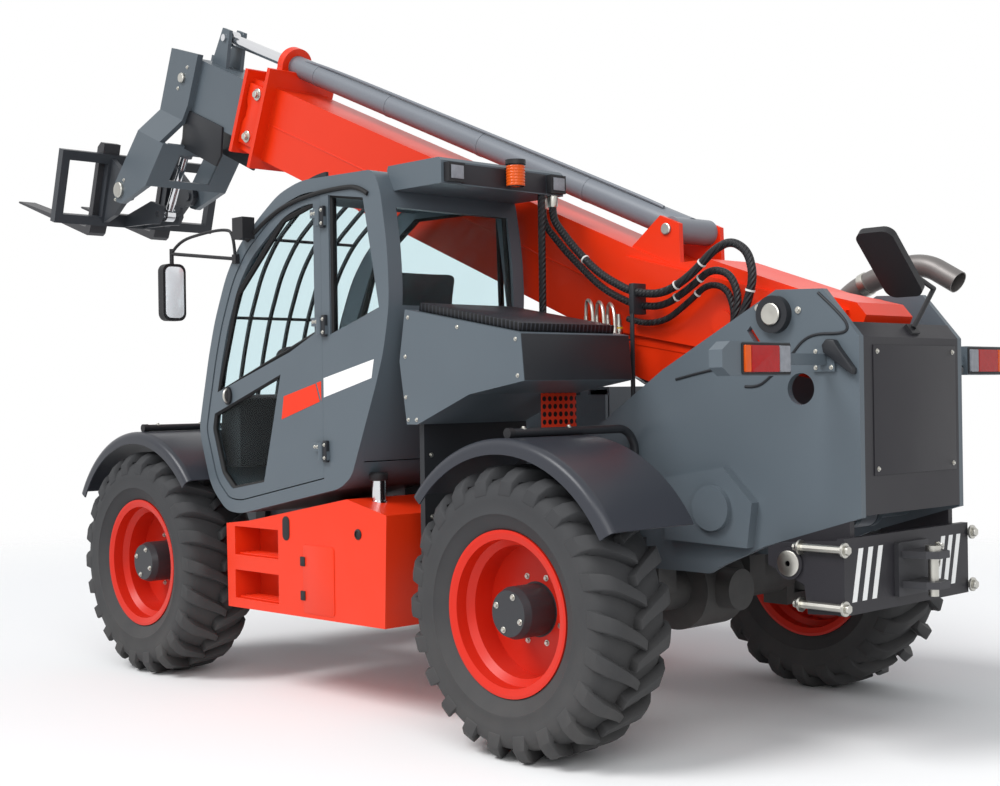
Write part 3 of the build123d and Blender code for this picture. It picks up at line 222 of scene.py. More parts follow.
def fit(made, name, finish, body="chassis", crease=35):
    """Settles a piece, or a list of like ones: joined, set into the mesh, finished, carried by a body."""
    piece = gather(made) if isinstance(made, list) else made
    only(piece)
    bpy.ops.object.transform_apply(location=True, rotation=True, scale=True)
    open_mesh()
    bpy.ops.mesh.normals_make_consistent(inside=False)
    close_mesh()
    bpy.ops.object.shade_smooth_by_angle(angle=math.radians(crease))
    piece.name = name
    piece.data.materials.clear()
    piece.data.materials.append(finish)
    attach(piece, body)
    return piece


def tube(points, radius):
    """A bent round bar or bead through given points, made a mesh."""
    line = bpy.data.curves.new("tube", "CURVE")
    line.dimensions = "3D"
    line.bevel_depth = radius
    line.bevel_resolution = 2
    line.resolution_u = 6
    line.use_fill_caps = True
    run = line.splines.new("NURBS")
    run.points.add(len(points) - 1)
    for spot, point in zip(run.points, points):
        spot.co = (*point, 1)
    run.order_u = 3
    run.use_endpoint_u = True
    bar = bpy.data.objects.new("tube", line)
    bpy.context.collection.objects.link(bar)
    only(bar)
    bpy.ops.object.convert(target="MESH")
    return bpy.context.object


def face(origin, along, up, out):
    """Places a flat outline: where it starts, its two ways across, and the way it stands out."""
    turn = Matrix((Vector(along), Vector(up), Vector(out))).transposed().to_4x4()
    return Matrix.Translation(Vector(origin)) @ turn


def side_face(y, hand=1):
    """An upright plane along the machine: distance ahead of the rear axle across, height up."""
    return face((rear_x, y, 0), (1, 0, 0), (0, 0, 1), (0, hand, 0))


def rear_face(x, hand=1):
    """An upright plane across the machine, looking back: distance left across, or right, and height up."""
    return face((rear_x + x, 0, 0), (0, hand, 0), (0, 0, 1), (-1, 0, 0))


def plate(outline, thick, place, edge=0.0):
    """A plate cut to an outline: a filled circle with its rim moved to the outline, extruded and bevelled."""
    bpy.ops.mesh.primitive_circle_add(vertices=len(outline), radius=1, fill_type="NGON")
    piece = bpy.context.object
    for vertex, (across, up) in zip(piece.data.vertices, outline):
        vertex.co = (across, up, 0)
    open_mesh()
    bpy.ops.mesh.extrude_region_move(TRANSFORM_OT_translate={"value": (0, 0, thick)})
    bpy.ops.mesh.select_all(action="SELECT")
    bpy.ops.mesh.normals_make_consistent(inside=False)
    if edge:
        bpy.ops.mesh.bevel(offset=edge, segments=2, affect="EDGES")
    close_mesh()
    piece.matrix_world = place
    return piece


slate_paint = coat("slate_paint", (0.1, 0.123, 0.142), (0.086, 0.106, 0.124), 0.36, dust=0.12)
black_paint = coat("black_paint", (0.022, 0.024, 0.028), (0.016, 0.017, 0.02), 0.42, dust=0.2)
dress(slate_paint, "main_frame")
dress(black_paint, "frame_brackets", "boom_pivot_pin")

hands = (1, -1)
tower_half = 0.376
seam_radius = 0.006
lug_thick = 0.034
lug_edge = 0.006
front_seam = [(-0.221, 1.502), (-0.35, 1.529), (-0.449, 1.543)]
rear_seam = [(-0.579, 1.468), (-0.638, 1.462), (-0.702, 1.502), (-0.809, 1.59), (-0.856, 1.643)]
rear_seam += [(-0.921, 1.668), (-1.047, 1.662), (-1.07, 1.69), (-1.022, 1.748), (-0.933, 1.825)]
lug_outline = [(-0.965, 1.622), (-0.985, 1.645), (-1.02, 1.64), (-1.035, 1.615)]
lug_outline += [(-1.105, 1.528), (-1.1, 1.505), (-1.075, 1.52), (-0.972, 1.592)]
seams = []
lugs = []
for hand in hands:
    for seam in (front_seam, rear_seam):
        seams.append(tube([(rear_x + x, hand * tower_half, z) for x, z in seam], seam_radius))
    lugs.append(plate(lug_outline, lug_thick, side_face(hand * tower_half, hand), lug_edge))
fit(seams, "tower_seams", black_paint)
fit(lugs, "lifting_lugs", black_paint)

# Boom pivot: a ground pin through both tower plates in a black collar, its bright end held by
# a keeper with two bolts. Bolt heads here and everywhere are zinc-plated, on washers.
zinc_plate = coat("zinc_plate", (0.56, 0.55, 0.5), (0.47, 0.46, 0.43), 0.32, metal=1.0, patch=18)


def stand(place, way):
    """Stands an upright piece at a place, along a way."""
    turn = Vector(way).to_track_quat("Z", "Y").to_matrix().to_4x4()
    return Matrix.Translation(Vector(place)) @ turn


def copied(piece, place):
    """A copy of a modelled piece with its own mesh, at a place."""
    copy = bpy.data.objects.new(piece.name, piece.data.copy())
    bpy.context.collection.objects.link(copy)
    copy.matrix_world = place
    return copy


def turned(profile, place, way, steps=24):
    """A round piece spun from half its section, (radius, height) points, and stood at a place along a way."""
    bpy.ops.mesh.primitive_circle_add(vertices=len(profile), radius=1, fill_type="NOTHING")
    piece = bpy.context.object
    for vertex, (radius, height) in zip(piece.data.vertices, profile):
        vertex.co = (radius, 0, height)
    open_mesh()
    bpy.ops.mesh.spin(steps=steps, angle=2 * math.pi, center=(0, 0, 0), axis=(0, 0, 1))
    bpy.ops.mesh.select_all(action="SELECT")
    bpy.ops.mesh.remove_doubles(threshold=0.00005)
    bpy.ops.mesh.delete_loose()
    close_mesh()
    piece.matrix_world = stand(place, way)
    return piece


def bolt_heads(name, spots, across, body="chassis"):
    """Hexagon heads on washers: one is modelled upright and copied to each (place, way)."""
    bpy.ops.object.select_all(action="DESELECT")
    bpy.ops.mesh.primitive_cylinder_add(vertices=14, radius=across, depth=across * 0.3)
    washer = bpy.context.object
    bpy.ops.object.mode_set(mode="EDIT")
    bpy.ops.mesh.select_all(action="DESELECT")
    close_mesh()
    for polygon in washer.data.polygons:
        polygon.select = polygon.normal.z > 0.9
    bpy.ops.object.mode_set(mode="EDIT")
    bpy.ops.mesh.inset(thickness=across * 0.07, depth=across * 0.05)
    close_mesh()
    head_place = (0, 0, across * 0.4)
    head_size = {"radius": across * 0.64, "depth": across * 0.6}
    bpy.ops.mesh.primitive_cylinder_add(vertices=6, location=head_place, **head_size)
    head = bpy.context.object
    open_mesh()
    bpy.ops.mesh.bevel(offset=across * 0.06, segments=1, affect="EDGES")
    close_mesh()
    model = gather([washer, head])
    copies = [copied(model, stand(place, way)) for place, way in spots]
    bpy.data.objects.remove(model)
    return fit(copies, name, zinc_plate, body)


pivot_x = rear_x - 0.735
pivot_z = 1.75
pin_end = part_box("boom_pivot_pin")[1][1]
pin_section = [(0, -0.004), (0.044, -0.004), (0.044, 0.002), (0.04, 0.005), (0.012, 0.005), (0, 0.002)]
keeper_bolt = 0.014
keeper_spots = []
pin_faces = []
for hand in hands:
    pin_faces.append(turned(pin_section, (pivot_x, hand * pin_end, pivot_z), (0, hand, 0)))
    keeper_side = hand * (tower_half + 0.002)
    for ahead, above in ((-0.105, 0.012), (0.088, 0.03)):
        keeper_spots.append(((pivot_x + ahead, keeper_side, pivot_z + above), (0, hand, 0)))
fit(pin_faces, "pivot_pin_faces", zinc_plate)
bolt_heads("pivot_keeper_bolts", keeper_spots, keeper_bolt)

# Rear panel: one folded sheet between the tower plates, sprayed near black, with a flat
# service cover held by four small bolts.
dark_panel_paint = coat("dark_panel_paint", (0.024, 0.023, 0.027), (0.02, 0.019, 0.023), 0.45)
dress(dark_panel_paint, "rear_panel")


def oblong(left, right, low, high):
    """A rectangle's outline."""
    return [(left, low), (left, high), (right, high), (right, low)]


panel_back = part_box("rear_panel")[0][0] - rear_x
cover_left = 0.285
cover_right = -0.32
cover_low = 1.12
cover_high = 1.62
cover_thick = 0.004
cover_edge = 0.0012
cover_bolt = 0.01
bolt_inset = 0.025
cover_outline = oblong(cover_left, cover_right, cover_low, cover_high)
cover = plate(cover_outline, cover_thick, rear_face(panel_back), cover_edge)
fit(cover, "service_cover", dark_panel_paint)
cover_spots = []
for y in (cover_left - bolt_inset, cover_right + bolt_inset):
    for z in (cover_low + bolt_inset, cover_high - bolt_inset):
        cover_spots.append(((rear_x + panel_back - cover_thick, y, z), (-1, 0, 0)))
bolt_heads("service_cover_bolts", cover_spots, cover_bolt)

# Hitch: a heavy plate with slanted white warning bars, bolted at its corners with long zinc
# bolts, and a two-lug tow jaw whose loose pin hangs on a short chain.
dark_steel = coat("dark_steel", (0.06, 0.06, 0.065), (0.045, 0.045, 0.05), 0.46, metal=0.4)
white_marking = coat("white_marking", (0.86, 0.86, 0.85), (0.8, 0.8, 0.78), 0.4)
dress(dark_panel_paint, "hitch_plate")
dress(dark_steel, "tow_jaw")
dress(zinc_plate, "tow_pin")
hitch_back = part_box("hitch_plate")[0][0] - rear_x
bar_low = 0.648
bar_high = 0.848
bar_lean = 0.048
bar_wide = 0.03
bar_film = 0.0015
bars = []
for first, pitch in ((0.405, 0.068), (-0.195, 0.06)):
    for number in range(3):
        start = first - number * pitch
        bar_outline = [
            (start, bar_low),
            (start - bar_lean, bar_high),
            (start - bar_lean - bar_wide, bar_high),
            (start - bar_wide, bar_low),
        ]
        bars.append(plate(bar_outline, bar_film, rear_face(hitch_back)))
fit(bars, "hitch_bars", white_marking)
hitch_half = 0.455
bolt_side = hitch_half + 0.014
bolt_back = hitch_back - 0.012
bolt_front = -0.9
shank_radius = 0.015
corner_bolt = 0.029
corner_spots = []
shanks = []
eyes = []
eye_section = [(0.011, 0), (0.05, 0), (0.05, 0.004), (0.046, 0.006), (0.011, 0.006)]
for hand in hands:
    eyes.append(turned(eye_section, (rear_x - 0.84, hand * (hitch_half + 0.01), 0.783), (0, hand, 0)))
    y = hand * bolt_side
    for z in (0.632, 0.85):
        corner_spots.append(((rear_x + bolt_back, y, z), (-1, 0, 0)))
        corner_spots.append(((rear_x + bolt_front, y, z), (1, 0, 0)))
        shanks.append(tube([(rear_x + x, y, z) for x in (bolt_back, -1.0, bolt_front + 0.03)], shank_radius))
bolt_heads("hitch_corner_bolts", corner_spots, corner_bolt)
fit(shanks, "hitch_bolt_shanks", zinc_plate)
fit(eyes, "hitch_eye_washers", zinc_plate)

chain_path = [Vector((-1.19, -0.034, 0.843)), Vector((-1.172, -0.094, 0.824)), Vector((-1.118, -0.122, 0.66))]
link_pitch = 0.019
link_size = {"major_radius": 0.0085, "minor_radius": 0.0028}
chain = []
for start, end in zip(chain_path, chain_path[1:]):
    run = end - start
    lie = run.to_track_quat("X", "Z").to_matrix().to_4x4()
    count = round(run.length / link_pitch)
    for number in range(count):
        bpy.ops.mesh.primitive_torus_add(major_segments=14, minor_segments=6, **link_size)
        link = bpy.context.object
        open_mesh()
        bpy.ops.transform.resize(value=(1.5, 1, 1))
        close_mesh()
        twist = Matrix.Rotation(math.radians(90) * (number % 2), 4, "X")
        spot = start + run * (number / count) + Vector((rear_x, 0, 0))
        link.matrix_world = Matrix.Translation(spot) @ lie @ twist
        chain.append(link)
fit(chain, "tow_pin_chain", zinc_plate)

# Axles and knuckles: cast housings with a rough sand-cast skin, sprayed thin black and dusty
# low down, bolted under the frame.
cast_black = (0.034, 0.035, 0.038)
cast_shade = (0.024, 0.025, 0.028)
cast_iron = coat("cast_iron", cast_black, cast_shade, 0.6, grain=90, depth=0.06, dust=0.35)
dress(cast_iron, "front_axle", "rear_axle")
wheel_corners = ("front_left", "front_right", "rear_left", "rear_right")
for corner in wheel_corners:
    dress(cast_iron, f"{corner}_knuckle")

# Wheels: pressed steel rims sprayed signal red, with nuts round the disc, and a dark planetary
# hub that stands out of the middle, its cover held by a ring of small bolts.
disc_out = -0.012
hub_out = 0.15
hub_radius = 0.112
hub_black = (0.035, 0.036, 0.04)
nut_count = 8
nut_circle = 0.14
cover_circle = 0.072
wheel_nut = 0.013


def wheel_seat(corner):
    """A wheel's middle and the side it is on, 1 left or -1 right."""
    low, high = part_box(f"{corner}_tyre")
    centre = [(low[i] + high[i]) / 2 for i in range(3)]
    return centre, 1 if centre[1] > 0 else -1


def hub_tint(finish, centre):
    """Paints a rim's finish black close to the wheel's axle line."""
    tree = finish.node_tree
    place = add_node(tree, "TexCoord").outputs["Object"]
    axle_line = {"Vector": place, "Location": (-centre[0], 0, -centre[2]), "Scale": (1, 0, 1)}
    shift = add_node(tree, "Mapping", axle_line).outputs["Vector"]
    reach = add_node(tree, "VectorMath", {0: shift}, operation="LENGTH").outputs["Value"]
    near = add_node(tree, "Math", {0: reach, 1: hub_radius}, operation="LESS_THAN")
    overpaint(finish, hub_black, near.outputs["Value"])



for corner in wheel_corners:
    centre, hand = wheel_seat(corner)
    rim_paint = coat(f"{corner}_rim_paint", (0.62, 0.016, 0.003), (0.54, 0.012, 0.002), 0.36, dust=0.06)
    hub_tint(rim_paint, centre)
    dress(rim_paint, f"{corner}_rim")
    nuts = []
    for number in range(nut_count):
        turn = 2 * math.pi * (number + 0.5) / nut_count
        rings = [(nut_circle, disc_out)]
        if number % 2 == 0:
            rings.append((cover_circle, hub_out))
        for circle, out in rings:
            x = centre[0] + circle * math.cos(turn)
            z = centre[2] + circle * math.sin(turn)
            nuts.append(((x, centre[1] + hand * out, z), (0, hand, 0)))
    bolt_heads(f"{corner}_wheel_nuts", nuts, wheel_nut, f"{corner}_wheel")

# Tyres: moulded rubber, a round-shouldered casing with a rim-guard rib on the sidewall and
# heavy slanted lugs that alternate left and right and wrap down the shoulders.
rubber_black = (0.042, 0.043, 0.046)
rubber_shade = (0.028, 0.029, 0.031)
tyre_rubber = coat("tyre_rubber", rubber_black, rubber_shade, 0.7, grain=120, depth=0.05, dust=0.12)
casing = [(0.155, 0.306), (0.157, 0.332), (0.178, 0.355), (0.19, 0.39), (0.197, 0.396), (0.197, 0.404)]
casing += [(0.194, 0.41), (0.199, 0.45), (0.198, 0.48), (0.188, 0.506)]
casing += [(0.168, 0.526), (0.13, 0.538), (0.06, 0.542)]
lining = [(0.12, 0.515), (0.158, 0.5), (0.176, 0.46), (0.172, 0.41)]
lining += [(0.15, 0.352), (0.128, 0.33), (0.11, 0.306)]
tyre_section = casing + [(-w, r) for w, r in reversed(casing)]
tyre_section += [(-w, r) for w, r in reversed(lining)] + lining
casing_steps = 96
lug_count = 22
lug_stations = 9
lug_top = 0.5845
lug_slant = 0.21
lug_bevel = 0.005
lug_starts = -0.02
lug_reach = 0.25
lug_half = 0.02
lug_widens = 0.014
lug_root = 0.53
crown_half = 0.14
crown_fall = 2.0
shoulder = 0.19
shoulder_top = 0.552
wall_side = 0.201


def lug_path(share):
    """Where a lug runs: sideways place, top radius, turn and half width, from the middle to the sidewall."""
    sideways = lug_starts + lug_reach * share
    fall = max(0.0, sideways - crown_half)
    top = lug_top - crown_fall * fall ** 1.35
    if sideways > shoulder:
        top = min(top, shoulder_top - (sideways - shoulder) * crown_fall)
    half = lug_half + lug_widens * share
    return min(sideways, wall_side), top, lug_slant * (share ** 0.85), half


def model_tyre(centre, hand):
    """One tyre: the casing spun from its section, and its lugs modelled once and copied round."""
    bpy.ops.object.select_all(action="DESELECT")
    bpy.ops.mesh.primitive_circle_add(vertices=len(tyre_section), radius=1, fill_type="NOTHING")
    body = bpy.context.object
    for vertex, (sideways, radius) in zip(body.data.vertices, tyre_section):
        vertex.co = (0, sideways, radius)
    open_mesh()
    bpy.ops.mesh.spin(steps=casing_steps, angle=2 * math.pi, center=(0, 0, 0), axis=(0, 1, 0))
    bpy.ops.mesh.select_all(action="SELECT")
    bpy.ops.mesh.remove_doubles(threshold=0.0001)
    bpy.ops.mesh.normals_make_consistent(inside=False)
    close_mesh()
    bpy.ops.mesh.primitive_grid_add(x_subdivisions=lug_stations, y_subdivisions=1, size=1)
    lug = bpy.context.object
    open_mesh()
    bpy.ops.mesh.extrude_region_move(TRANSFORM_OT_translate={"value": (0, 0, -1)})
    close_mesh()
    for vertex in lug.data.vertices:
        sideways, top, turn, half = lug_path(vertex.co.x + 0.5)
        deep = vertex.co.z < -0.5
        radius = min(top - 0.02, lug_root) if deep else top
        inward = 0.03 if deep and sideways > shoulder else 0.0
        spread = half * (1.25 if deep else 1.0)
        angle = turn + 2 * vertex.co.y * spread / radius
        vertex.co = (radius * math.sin(angle), sideways - inward, radius * math.cos(angle))
    bevel = lug.modifiers.new("edge", "BEVEL")
    bevel.width = lug_bevel
    bevel.segments = 2
    bevel.limit_method = "ANGLE"
    bevel.angle_limit = math.radians(40)
    only(lug)
    bpy.ops.object.modifier_apply(modifier=bevel.name)
    pitch = 2 * math.pi / lug_count
    copies = [body]
    for number in range(lug_count):
        for across, stagger in ((1, 0), (-1, 0.5)):
            turn = Matrix.Rotation(pitch * (number + stagger), 4, "Y")
            copies.append(copied(lug, turn @ Matrix.Diagonal((1, across, 1, 1))))
    bpy.data.objects.remove(lug)
    tyre = gather(copies)
    about = Matrix.Rotation(0 if hand > 0 else math.pi, 4, "Z")
    tyre.matrix_world = Matrix.Translation(Vector(centre)) @ about
    return tyre


for corner in wheel_corners:
    tyre = model_tyre(*wheel_seat(corner))
    fit(tyre, f"{corner}_lugged_tyre", tyre_rubber, f"{corner}_wheel")
    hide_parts(f"{corner}_tyre")

# Mudguards: moulded glossy strips with a rolled lip, bolted up to the round bars that reach out
# from the frame; each bar ends in a soft plastic cap.
guard_gloss = coat("guard_gloss", (0.034, 0.037, 0.046), (0.028, 0.03, 0.038), 0.3)
black_plastic = coat("black_plastic", (0.018, 0.018, 0.02), (0.013, 0.013, 0.015), 0.5, grain=260, depth=0.04)
dress(guard_gloss, "mudguards")
guard_bar_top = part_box("frame_brackets")[1][2]
guard_bar_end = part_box("frame_brackets")[1][1]
guard_bar_radius = 0.018
guard_bolt = 0.013
bar_cap_section = [(0, 0), (0.021, 0), (0.021, -0.03), (0.0185, -0.03), (0.0185, -0.002), (0, -0.002)]
guard_spots = []
caps = []
for corner in wheel_corners:
    centre, hand = wheel_seat(corner)
    for y in (0.8, 1.06):
        guard_spots.append(((centre[0], hand * y, guard_bar_top - 0.002), (0, 0, 1)))
    cap_place = (centre[0], hand * (guard_bar_end + 0.004), guard_bar_top - guard_bar_radius)
    caps.append(turned(bar_cap_section, cap_place, (0, hand, 0)))
bolt_heads("mudguard_bolts", guard_spots, guard_bolt)
fit(caps, "mudguard_bar_caps", black_plastic)

# Cab shell: pressed panels welded to a curved frame and sprayed slate, with a hinged door on the
# left. A white stripe and red patches run across its side, and soft black beads seal every pane.
dress(slate_paint, "cab_floor", "cab_rear_wall", "cab_roof", "cab_left_side", "cab_right_side", "cab_door")
seal_rubber = coat("seal_rubber", (0.012, 0.012, 0.013), (0.009, 0.009, 0.01), 0.62, grain=300, depth=0.03)
signal_red_paint = coat("signal_red_paint", (0.78, 0.034, 0.004), (0.72, 0.028, 0.003), 0.34, dust=0.06)
cab_side = 1.08
door_side = 1.076


def edge_bead(node, out, radius, name, body):
    """A rubber bead round the edges of a node's faces that look one way, from a merged copy of them."""
    bead = copied(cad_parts[node], Matrix())
    only(bead)
    bpy.ops.object.mode_set(mode="EDIT")
    bpy.ops.mesh.select_mode(type="FACE")
    bpy.ops.mesh.select_all(action="SELECT")
    bpy.ops.mesh.remove_doubles(threshold=0.0001)
    bpy.ops.mesh.select_all(action="DESELECT")
    close_mesh()
    for polygon in bead.data.polygons:
        polygon.select = polygon.normal.dot(Vector(out)) < 0.9
    bpy.ops.object.mode_set(mode="EDIT")
    bpy.ops.mesh.delete(type="FACE")
    bpy.ops.mesh.select_all(action="SELECT")
    bpy.ops.mesh.dissolve_limited(angle_limit=math.radians(25))
    bpy.ops.mesh.select_all(action="SELECT")
    bpy.ops.mesh.delete(type="ONLY_FACE")
    close_mesh()
    bpy.ops.object.convert(target="CURVE")
    bead = bpy.context.object
    bead.data.bevel_depth = radius
    bead.data.bevel_resolution = 1
    bpy.ops.object.convert(target="MESH")
    return fit(bpy.context.object, name, seal_rubber, body)


edge_bead("cab_door_panes", (0, 1, 0), 0.016, "door_pane_seals", "door")
edge_bead("cab_panes", (0, 1, 0), 0.016, "side_pane_seal", "chassis")
edge_bead("cab_panes", (0, -1, 0), 0.014, "right_pane_seal", "chassis")

film = 0.0012
stripe_outline = [(1.292, 1.536), (0.921, 1.614), (0.939, 1.531), (1.292, 1.447)]
fit(plate(stripe_outline, film, side_face(cab_side)), "cab_stripe", white_marking)
small_patch = [(1.352, 1.515), (1.318, 1.523), (1.318, 1.432)]
long_patch = [(1.362, 1.512), (1.615, 1.455), (1.635, 1.345), (1.33, 1.428)]
patches = [plate(outline, film, side_face(door_side)) for outline in (small_patch, long_patch)]
fit(patches, "door_patches", signal_red_paint, "door")

handle_x = 2.085
handle_z = 1.462
dish_points = 24
dish_thick = 0.016
dish_edge = 0.005
grip_radius = 0.006
dish_outline = []
for number in range(dish_points):
    turn = 2 * math.pi * number / dish_points
    dish_outline.append((handle_x + 0.03 * math.cos(turn), handle_z + 0.046 * math.sin(turn)))
dish = plate(dish_outline, dish_thick, side_face(door_side), dish_edge)
fit(dish, "door_handle_dish", black_plastic, "door")
grip_run = [(1.09, 1.43), (1.108, 1.44), (1.108, 1.484), (1.09, 1.494)]
grip = tube([(rear_x + handle_x, y, z) for y, z in grip_run], grip_radius)
fit(grip, "door_handle_grip", zinc_plate, "door")

rail_radius = 0.011
rail_run = [(1.895, 2.222), (1.75, 2.3), (1.575, 2.362), (1.355, 2.392)]
rail_run += [(1.149, 2.398), (1.01, 2.39), (0.945, 2.35)]
rail = tube([(rear_x + x, cab_side + 0.003, z) for x, z in rail_run], rail_radius)
fit(rail, "door_drip_rail", seal_rubber)
knuckle_thick = 0.02
knuckle_edge = 0.004
leaf_side = 1.0955
hinge_bolt = 0.0085
knuckles = []
hinge_spots = []
leaf_spots = []
for height in (1.199, 1.777, 2.278):
    knuckle = oblong(1.256, 1.284, height - 0.05, height + 0.05)
    knuckles.append(plate(knuckle, knuckle_thick, side_face(cab_side), knuckle_edge))
    for z in (height - 0.03, height + 0.03):
        hinge_spots.append(((rear_x + 1.27, cab_side + knuckle_thick, z), (0, 1, 0)))
    for x in (1.328, 1.348):
        leaf_spots.append(((rear_x + x, leaf_side, height + 0.02), (0, 1, 0)))
fit(knuckles, "hinge_knuckles", black_paint)
bolt_heads("hinge_bolts", hinge_spots, hinge_bolt)
bolt_heads("door_leaf_bolts", leaf_spots, hinge_bolt, "door")

# Glass: tinted safety glass bonded into the openings, and the screen guard of black round bars
# on feet in front of the curved windscreen.
tinted_glass = bpy.data.materials.new("tinted_glass")
tinted_glass.use_nodes = True
glass = tinted_glass.node_tree
glass_shader = glass.nodes["Principled BSDF"]
glass_shader.inputs["Transmission Weight"].default_value = 1.0
glass_shader.inputs["IOR"].default_value = 1.1
glass_place = add_node(glass, "TexCoord").outputs["Object"]
glass_film = add_node(glass, "TexNoise", {"Vector": glass_place, "Scale": 3.5, "Detail": 6}).outputs["Fac"]
glass_tones = {0: glass_film, 6: (0.82, 0.92, 0.94, 1), 7: (0.78, 0.88, 0.9, 1)}
glass_tint = add_node(glass, "Mix", glass_tones, data_type="RGBA")
glass_haze = add_node(glass, "MapRange", {"Value": glass_film, "To Min": 0.01, "To Max": 0.05})
glass.links.new(glass_tint.outputs[2], glass_shader.inputs["Base Color"])
glass.links.new(glass_haze.outputs["Result"], glass_shader.inputs["Roughness"])
dress(tinted_glass, "windscreen", "cab_panes", "cab_door_panes")
dress(black_paint, "screen_guard")

# Operator's seat: two foam pads in woven cloth, blown up from blocks with a cloth run. In front are
# the steering console with its wheel and a moulded dash, and on the right a moulded side panel.
seat_cloth = coat("seat_cloth", (0.05, 0.052, 0.056), (0.038, 0.04, 0.043), 0.9, grain=420, depth=0.08)
dress(dark_steel, "console", "steering_wheel")
dash_outline = [(2.09, 1.1), (2.2, 1.1), (2.27, 1.24), (2.26, 1.42), (2.17, 1.47), (2.1, 1.45), (2.09, 1.35)]
dash_wide = 0.7
dash_edge = 0.015
dash = plate(dash_outline, dash_wide, side_face(0.31), dash_edge)
panel_outline = [(1.25, 1.3), (1.72, 1.3), (1.78, 1.4), (1.74, 1.5), (1.4, 1.56), (1.25, 1.5)]
panel_thick = 0.08
panel_edge = 0.012
side_panel = plate(panel_outline, panel_thick, side_face(0.305), panel_edge)
fit([dash, side_panel], "cab_trim", black_plastic)
pad_round = 0.022
pad_voxel = 0.008
pad_pressure = 4
pad_frames = 20
pad_travel = 0.014


def seat_pad(name, size, place, lean):
    """A padded block: rounded, remeshed, swollen by cloth pressure with its travel capped, and placed."""
    bpy.ops.object.select_all(action="DESELECT")
    bpy.ops.mesh.primitive_cube_add(size=1)
    pad = bpy.context.object
    pad.scale = size
    bpy.ops.object.transform_apply(location=False, rotation=False, scale=True)
    open_mesh()
    bpy.ops.mesh.bevel(offset=pad_round, segments=3, affect="EDGES")
    close_mesh()
    remesh = pad.modifiers.new("remesh", "REMESH")
    remesh.mode = "VOXEL"
    remesh.voxel_size = pad_voxel
    bpy.ops.object.modifier_apply(modifier=remesh.name)
    still = [vertex.co.copy() for vertex in pad.data.vertices]
    cloth = pad.modifiers.new("swell", "CLOTH")
    cloth.settings.use_pressure = True
    cloth.settings.uniform_pressure_force = pad_pressure
    cloth.settings.effector_weights.gravity = 0
    for step in range(1, pad_frames + 1):
        scene.frame_set(step)
    bpy.ops.object.modifier_apply(modifier=cloth.name)
    scene.frame_set(1)
    for vertex, before in zip(pad.data.vertices, still):
        travel = vertex.co - before
        if travel.length > pad_travel:
            vertex.co = before + travel * (pad_travel / travel.length)
    smooth = pad.modifiers.new("smooth", "SUBSURF")
    smooth.levels = 1
    smooth.render_levels = 1
    bpy.ops.object.modifier_apply(modifier=smooth.name)
    pad.matrix_world = Matrix.Translation(Vector(place)) @ Matrix.Rotation(lean, 4, "Y")
    fit(pad, name, seat_cloth, crease=60)
    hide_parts("seat")


seat_middle = sum(corner[1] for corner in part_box("seat")) / 2
seat_pad("seat_cushion", (0.38, 0.45, 0.075), (rear_x + 1.385, seat_middle, 1.424), math.radians(-1))
seat_pad("seat_back", (0.075, 0.43, 0.57), (rear_x + 1.135, seat_middle, 1.755), math.radians(-7.6))

# Light box: a folded slate box across the rear of the roof with a square lamp at each end and an
# amber beacon on a bracket; a third lamp sits on the front pillar.
dress(slate_paint, "light_box")
dress(black_plastic, "work_lamps", "beacon")
lamp_glass = coat("lamp_glass", (0.3, 0.31, 0.34), (0.16, 0.17, 0.19), 0.12, patch=40, grain=55, depth=0.4)
amber_lens = coat("amber_lens", (0.72, 0.1, 0.006), (0.6, 0.075, 0.005), 0.2, patch=30, grain=70, depth=0.3)
lamp_rear = 0.51
lens_thick = 0.005
lens_edge = 0.0016
lenses = []
for lamp_low in (0.265, 0.89):
    lens_outline = oblong(lamp_low + 0.012, lamp_low + 0.083, 2.38, 2.438)
    lenses.append(plate(lens_outline, lens_thick, rear_face(lamp_rear), lens_edge))
pillar_face = face((rear_x + 1.925, 0, 0), (0, -1, 0), (0, 0, 1), (1, 0, 0))
lenses.append(plate(oblong(-1.138, -1.092, 2.24, 2.315), lens_thick, pillar_face, lens_edge))
fit(lenses, "lamp_lenses", lamp_glass)
box_rear = 0.543
sheet_thick = 0.003
sheet_edge = 0.001
box_back = plate(oblong(0.364, 0.886, 2.366, 2.452), sheet_thick, rear_face(box_rear), sheet_edge)
fit(box_back, "light_box_back", dark_panel_paint)
beacon_low, beacon_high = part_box("beacon")
beacon_place = (beacon_low[0] + 0.046, (beacon_low[1] + beacon_high[1]) / 2, 0)
beacon_foot = 2.37
beacon_top = 2.468
beacon_core = 0.0405
beacon_radius = 0.043
rib_pitch = 0.013
ribs = [(0, beacon_foot)]
for number in range(7):
    rib = beacon_foot + 0.004 + number * rib_pitch
    ribs += [(beacon_core, rib), (beacon_radius, rib + 0.004)]
    ribs += [(beacon_radius, rib + 0.008), (beacon_core, rib + 0.012)]
ribs.append((0, beacon_top))
fit(turned(ribs, beacon_place, (0, 0, 1)), "beacon_lens", amber_lens)

# Cooling box: welded slate sheet on a black bulkhead behind the cab, with a perforated black top,
# a dark plate on its back, a red punched screen hung under it and rows of bolts along its edges.
dress(slate_paint, "cooling_box")
dress(black_paint, "bulkhead")
# The holes in the punched sheets are painted near black: painted shade in the openings.
hole_shade = (0.004, 0.004, 0.005)


